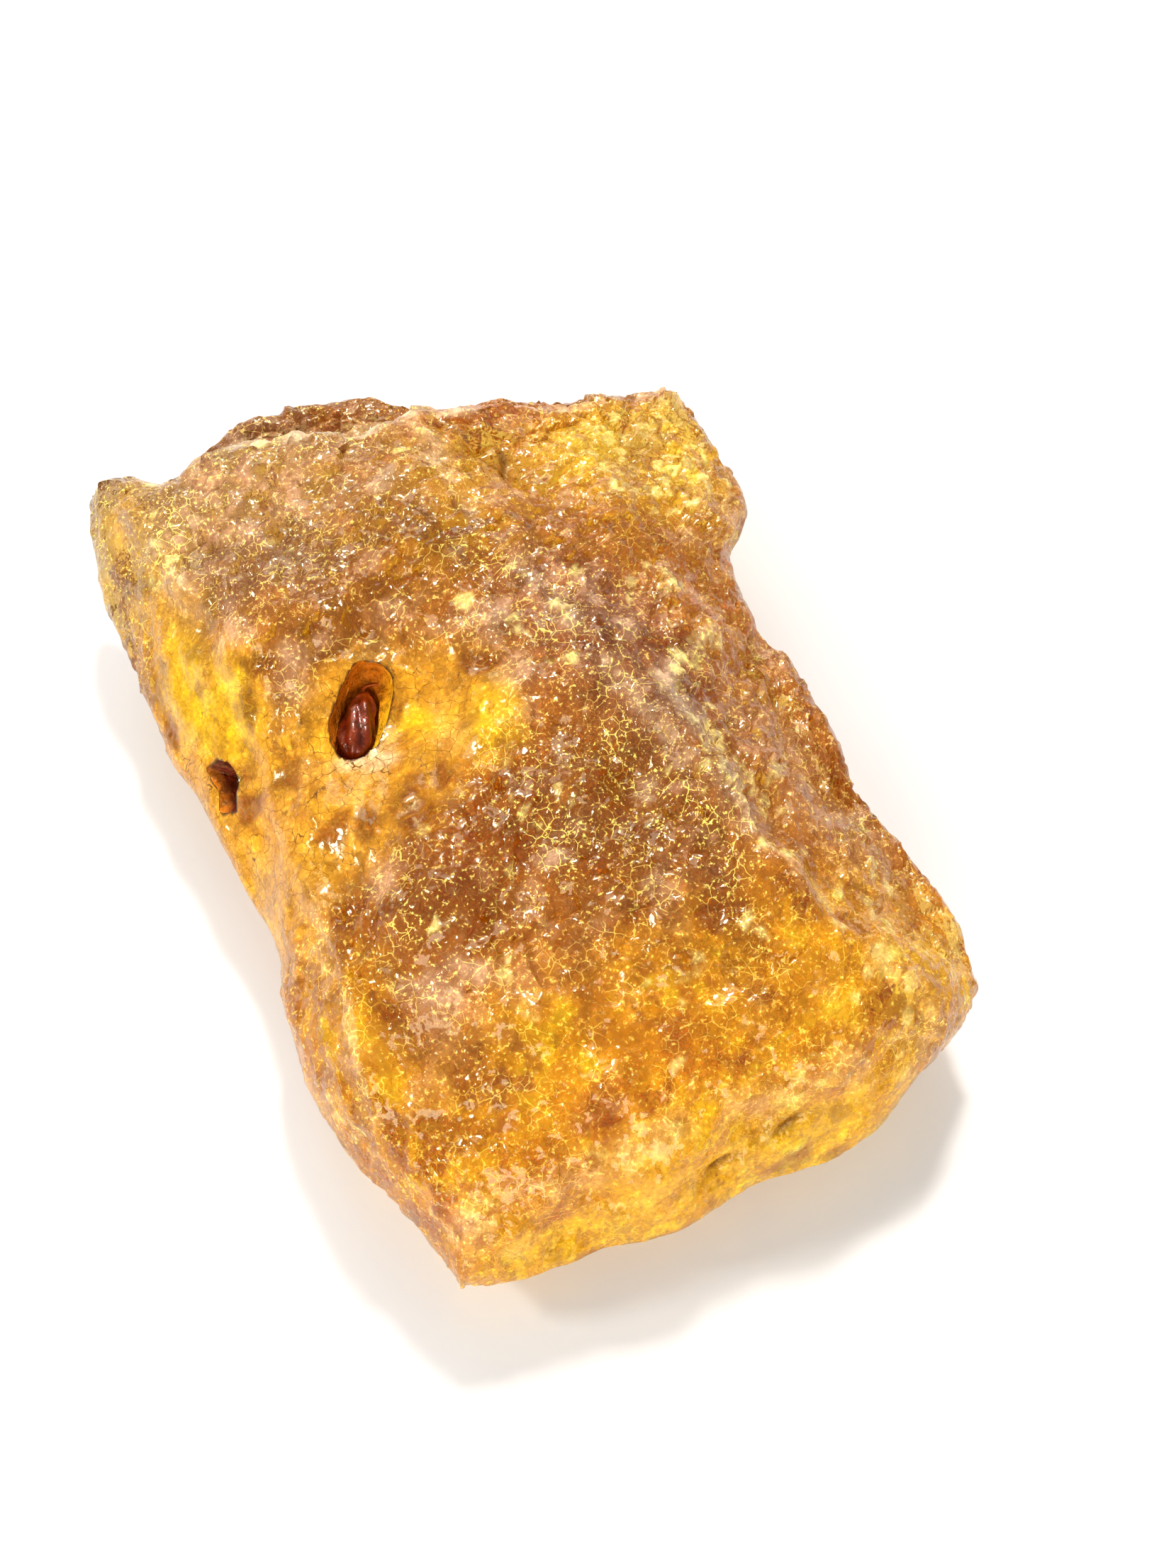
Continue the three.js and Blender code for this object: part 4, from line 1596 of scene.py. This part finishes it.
@dataclass
class Husk:
    """The grooved fragment that lies in the larger pit, with a thin curled wisp at its upper end."""

    at: Plan = (-6.52, 3.58)  # centre in plan
    turn: float = 60.0  # degrees from +X to its length
    half: Point = (2.0, 0.8, 0.63)  # half length, half width and half height
    under_rim: float = 0.05  # how far its top lies under the pit's rim
    blunt: float = 2.6  # power of its ends' rounding
    taper: float = 0.12  # how much narrower it is towards the upper end
    grooves: int = 6  # number of grooves round it
    groove_depth: float = 0.15  # depth of a groove, as a share of the radius
    twist: float = 0.5  # radians that the grooves turn on each half of the length
    wander: Plan = (0.8, 3.0)  # how far and how fast they wander, in radians of their wave
    # Its roughness, which fades out on the wisp.
    rough: tuple[Ripple, ...] = (Ripple(0.17, 0.8, 401, 4, squeeze=0.6), Ripple(0.07, 0.4, 431, squeeze=0.5))
    wisp: float = 0.4  # share of the half length that is the wisp
    wisp_inside: float = 0.1  # share of the wisp that lies inside the husk
    wisp_width: float = 0.1  # width of the wisp, as a share of the husk's
    wisp_taper: float = 0.4  # how much narrower the wisp gets
    wisp_blunt: int = 8  # power of the rounding of its tip
    # How far the wisp leans to the left, swings to the right, runs back and rises, as shares of the
    # half width, half width, half length and half height.
    curl: tuple[float, float, float, float] = (0.9, 1.6, 0.13, 0.2)
    tip: float = 0.01  # how far the last point stands out of the wisp's last ring
    rings: int = 150  # rings along it
    around: int = 110  # points round each ring

    def surface(self, form: SlabForm) -> tuple[Surface, Array]:
        """A blunt spindle with grooves along it, ending in the wisp.

        Along the length, t runs from -1 to 1. The body's width is (1 - |s|^blunt)^0.5, where s
        runs from -1 to 1 over the body alone, and the wisp's is nearly constant up to its rounded
        tip. With u from 0 to 1 along the wisp, the middle line moves left by u and right and back
        by u². Round it, the radius dips by the groove depth where cos(grooves · angle) is least,
        and each ring stands across the middle line. The roughness is full where the width is half
        more than the wisp's, and fades to none at the wisp's own.

        Args:
            form: The slab, for the height of its top.

        Returns:
            The closed surface, and how near each point is to a groove's crest.
        """
        t = np.linspace(-1, 1, self.rings + 2)[1:-1]
        u = np.clip((t - 1 + self.wisp) / self.wisp, 0, 1)
        s = np.clip(2 * (t + 1) / (2 - (1 - self.wisp_inside) * self.wisp) - 1, -1, 1)
        body = (1 - np.abs(s) ** self.blunt) ** 0.5 * (1 - self.taper * s)
        wisp = self.wisp_width * (1 - self.wisp_taper * u) * (1 - u**self.wisp_blunt) ** 0.5 * (t > 0)
        width = np.maximum(body, wisp)
        angle = 2 * math.pi * np.arange(self.around) / self.around
        bend = self.wander[0] * np.sin(self.wander[1] * t[:, None])
        wave = np.cos(self.grooves * (angle[None] + self.twist * t[:, None]) + bend)
        crest = 0.5 + 0.5 * wave
        radius = width[:, None] * (1 - self.groove_depth * (1 - crest))
        left, right, back, rise = self.curl
        middle = np.array(self.half) * np.stack([t - back * u**2, left * u - right * u**2, rise * u], -1)
        run = np.gradient(middle[:, :2], axis=0)
        run /= np.linalg.norm(run, axis=1, keepdims=True)
        side = np.stack([-run[:, 1], run[:, 0], 0 * t], -1)
        rings = middle[:, None] + self.half[1] * (radius * np.cos(angle))[..., None] * side[:, None]
        rings[..., 2] += self.half[2] * radius * np.sin(angle)
        foot = np.array([-self.half[0], 0.0, 0.0])
        solid = ring_surface(rings, foot, middle[-1] + self.tip * np.append(run[-1], 0))
        full = np.clip(2 * width - 2 * self.wisp_width, 0, 1)
        solid.roughen(self.rough, np.append(np.repeat(full, self.around), [1, 0]))
        c, s = math.cos(math.radians(self.turn)), math.sin(math.radians(self.turn))
        solid.points = solid.points @ np.array([[c, s, 0], [-s, c, 0], [0, 0, 1]])
        top = form.surface_height(*self.at) - self.under_rim - self.half[2]
        solid.points += [*self.at, top]
        return solid, np.concatenate([crest.reshape(-1), [0.5, 0.5]])

    def build(self, form: SlabForm, finish: HuskSkin) -> bpy.types.Object:
        """Builds and dresses the husk.

        Args:
            form: The slab that it lies in.
            finish: Finish of its surface.

        Returns:
            The finished object.
        """
        solid, crest = self.surface(form)
        made = solid.to_object("husk_fragment", {"crest": crest})
        made.data.materials.append(finish.build())
        return made


@dataclass(frozen=True)
class AreaLight:
    """A square area light: its name, place and side in metres, its watts and its colour."""

    name: str
    place: Point
    side: float
    power: float
    colour: Rgb = (1.0, 0.98, 0.95)


@dataclass
class Studio:
    """The floor, lights and camera round the copal. Lengths are in metres."""

    azimuth: float = -23.0  # degrees that the camera is turned from looking along +Y
    elevation: float = 62.0  # degrees that it looks down
    distance: float = 0.097  # how far it stands from its target
    target: Point = (0.001951, -0.002077, 0.006)  # what the camera and the lights aim at
    lens: float = 50.0  # focal length, in millimetres
    nearest: float = 0.001  # nearest distance that it sees
    floor_half: float = 0.9  # half length of the floor's side
    floor_under: float = 0.00002  # how far the floor lies under the resting face
    floor_colour: Rgb = (0.72, 0.71, 0.70)  # colour of the floor
    floor_roughness: float = 0.8  # its roughness
    surround: float = 0.43  # strength of the white surround
    lights: tuple[AreaLight, ...] = (  # the area lights
        AreaLight("key", (0.12, 0.22, 0.34), 0.05, 1.4),
        AreaLight("side", (-0.26, 0.12, 0.24), 0.06, 0.6),
        AreaLight("sky", (0.1, 0.35, 0.3), 0.3, 1.0, (1.0, 1.0, 1.0)),
        AreaLight("fill", (-0.20, -0.34, 0.16), 0.30, 2.2),
    )

    def floor(self) -> None:
        """Lays a plain pale floor, a hair under the resting face."""
        h, z = self.floor_half, -self.floor_under
        mesh = bpy.data.meshes.new("floor")
        mesh.from_pydata([(-h, -h, z), (h, -h, z), (h, h, z), (-h, h, z)], [], [(0, 1, 2, 3)])
        desk = Desk("pale floor")
        surface = desk.shader(Base_Color=self.floor_colour, Roughness=self.floor_roughness)
        mesh.materials.append(desk.finished(surface))
        made = self.placed("floor", mesh)

    @staticmethod
    def placed(name: str, data: bpy.types.ID) -> bpy.types.Object:
        """Links a new object with the data to the scene.

        Args:
            name: Name of the object.
            data: Its mesh, light or camera.

        Returns:
            The object, at the origin.
        """
        made = bpy.data.objects.new(name, data)
        bpy.context.scene.collection.objects.link(made)
        return made

    def aimed(self, name: str, data: bpy.types.ID, place: Point | Vector) -> bpy.types.Object:
        """Links a new light or camera that stands at a place and looks at the target.

        Args:
            name: Name of the object.
            data: The light or camera.
            place: Where it stands.

        Returns:
            The object.
        """
        made = self.placed(name, data)
        made.location = place
        made.rotation_euler = (Vector(self.target) - Vector(place)).to_track_quat("-Z", "Y").to_euler()
        return made

    def build(self) -> None:
        """Sets up the camera, the floor, the surround and the lights."""
        turn, rise = math.radians(self.azimuth), math.radians(self.elevation)
        back = Vector((math.sin(turn) * math.cos(rise), -math.cos(turn) * math.cos(rise), math.sin(rise)))
        lens = bpy.data.cameras.new("camera")
        lens.lens, lens.clip_start = self.lens, self.nearest
        scene = bpy.context.scene
        scene.camera = self.aimed("camera", lens, Vector(self.target) + self.distance * back)
        self.floor()
        world = bpy.data.worlds.new("studio")
        world.use_nodes = True
        background = world.node_tree.nodes["Background"]
        background.inputs["Color"].default_value = (1.0, 1.0, 1.0, 1.0)
        background.inputs["Strength"].default_value = self.surround
        scene.world = world
        scene.view_settings.view_transform = "Standard"
        for light in self.lights:
            lamp = bpy.data.lights.new(light.name, "AREA")
            lamp.shape, lamp.size, lamp.energy, lamp.color = "SQUARE", light.side, light.power, light.colour
            self.aimed(light.name, lamp, light.place)


def finish_piece(piece: bpy.types.Object, node: str) -> None:
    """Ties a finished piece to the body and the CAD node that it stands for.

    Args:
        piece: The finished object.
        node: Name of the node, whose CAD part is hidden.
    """
    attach(piece, BODY)
    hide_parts(node)
    log.info("%s stands for %s, with %d faces", piece.name, node, len(piece.data.polygons))


def main() -> None:
    """Builds the studio, the body and the husk, and reports each piece."""
    logging.basicConfig(level=logging.INFO, format="%(name)s: %(message)s")
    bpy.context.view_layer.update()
    Studio().build()
    form = SlabForm()
    finish_piece(CopalBody(form, SkinRelief(), SkinPaint()).build(ResinSkin(), Inside()), "copal")
    finish_piece(Husk().build(form, HuskSkin()), "husk")


if __name__ == "__main__":
    main()
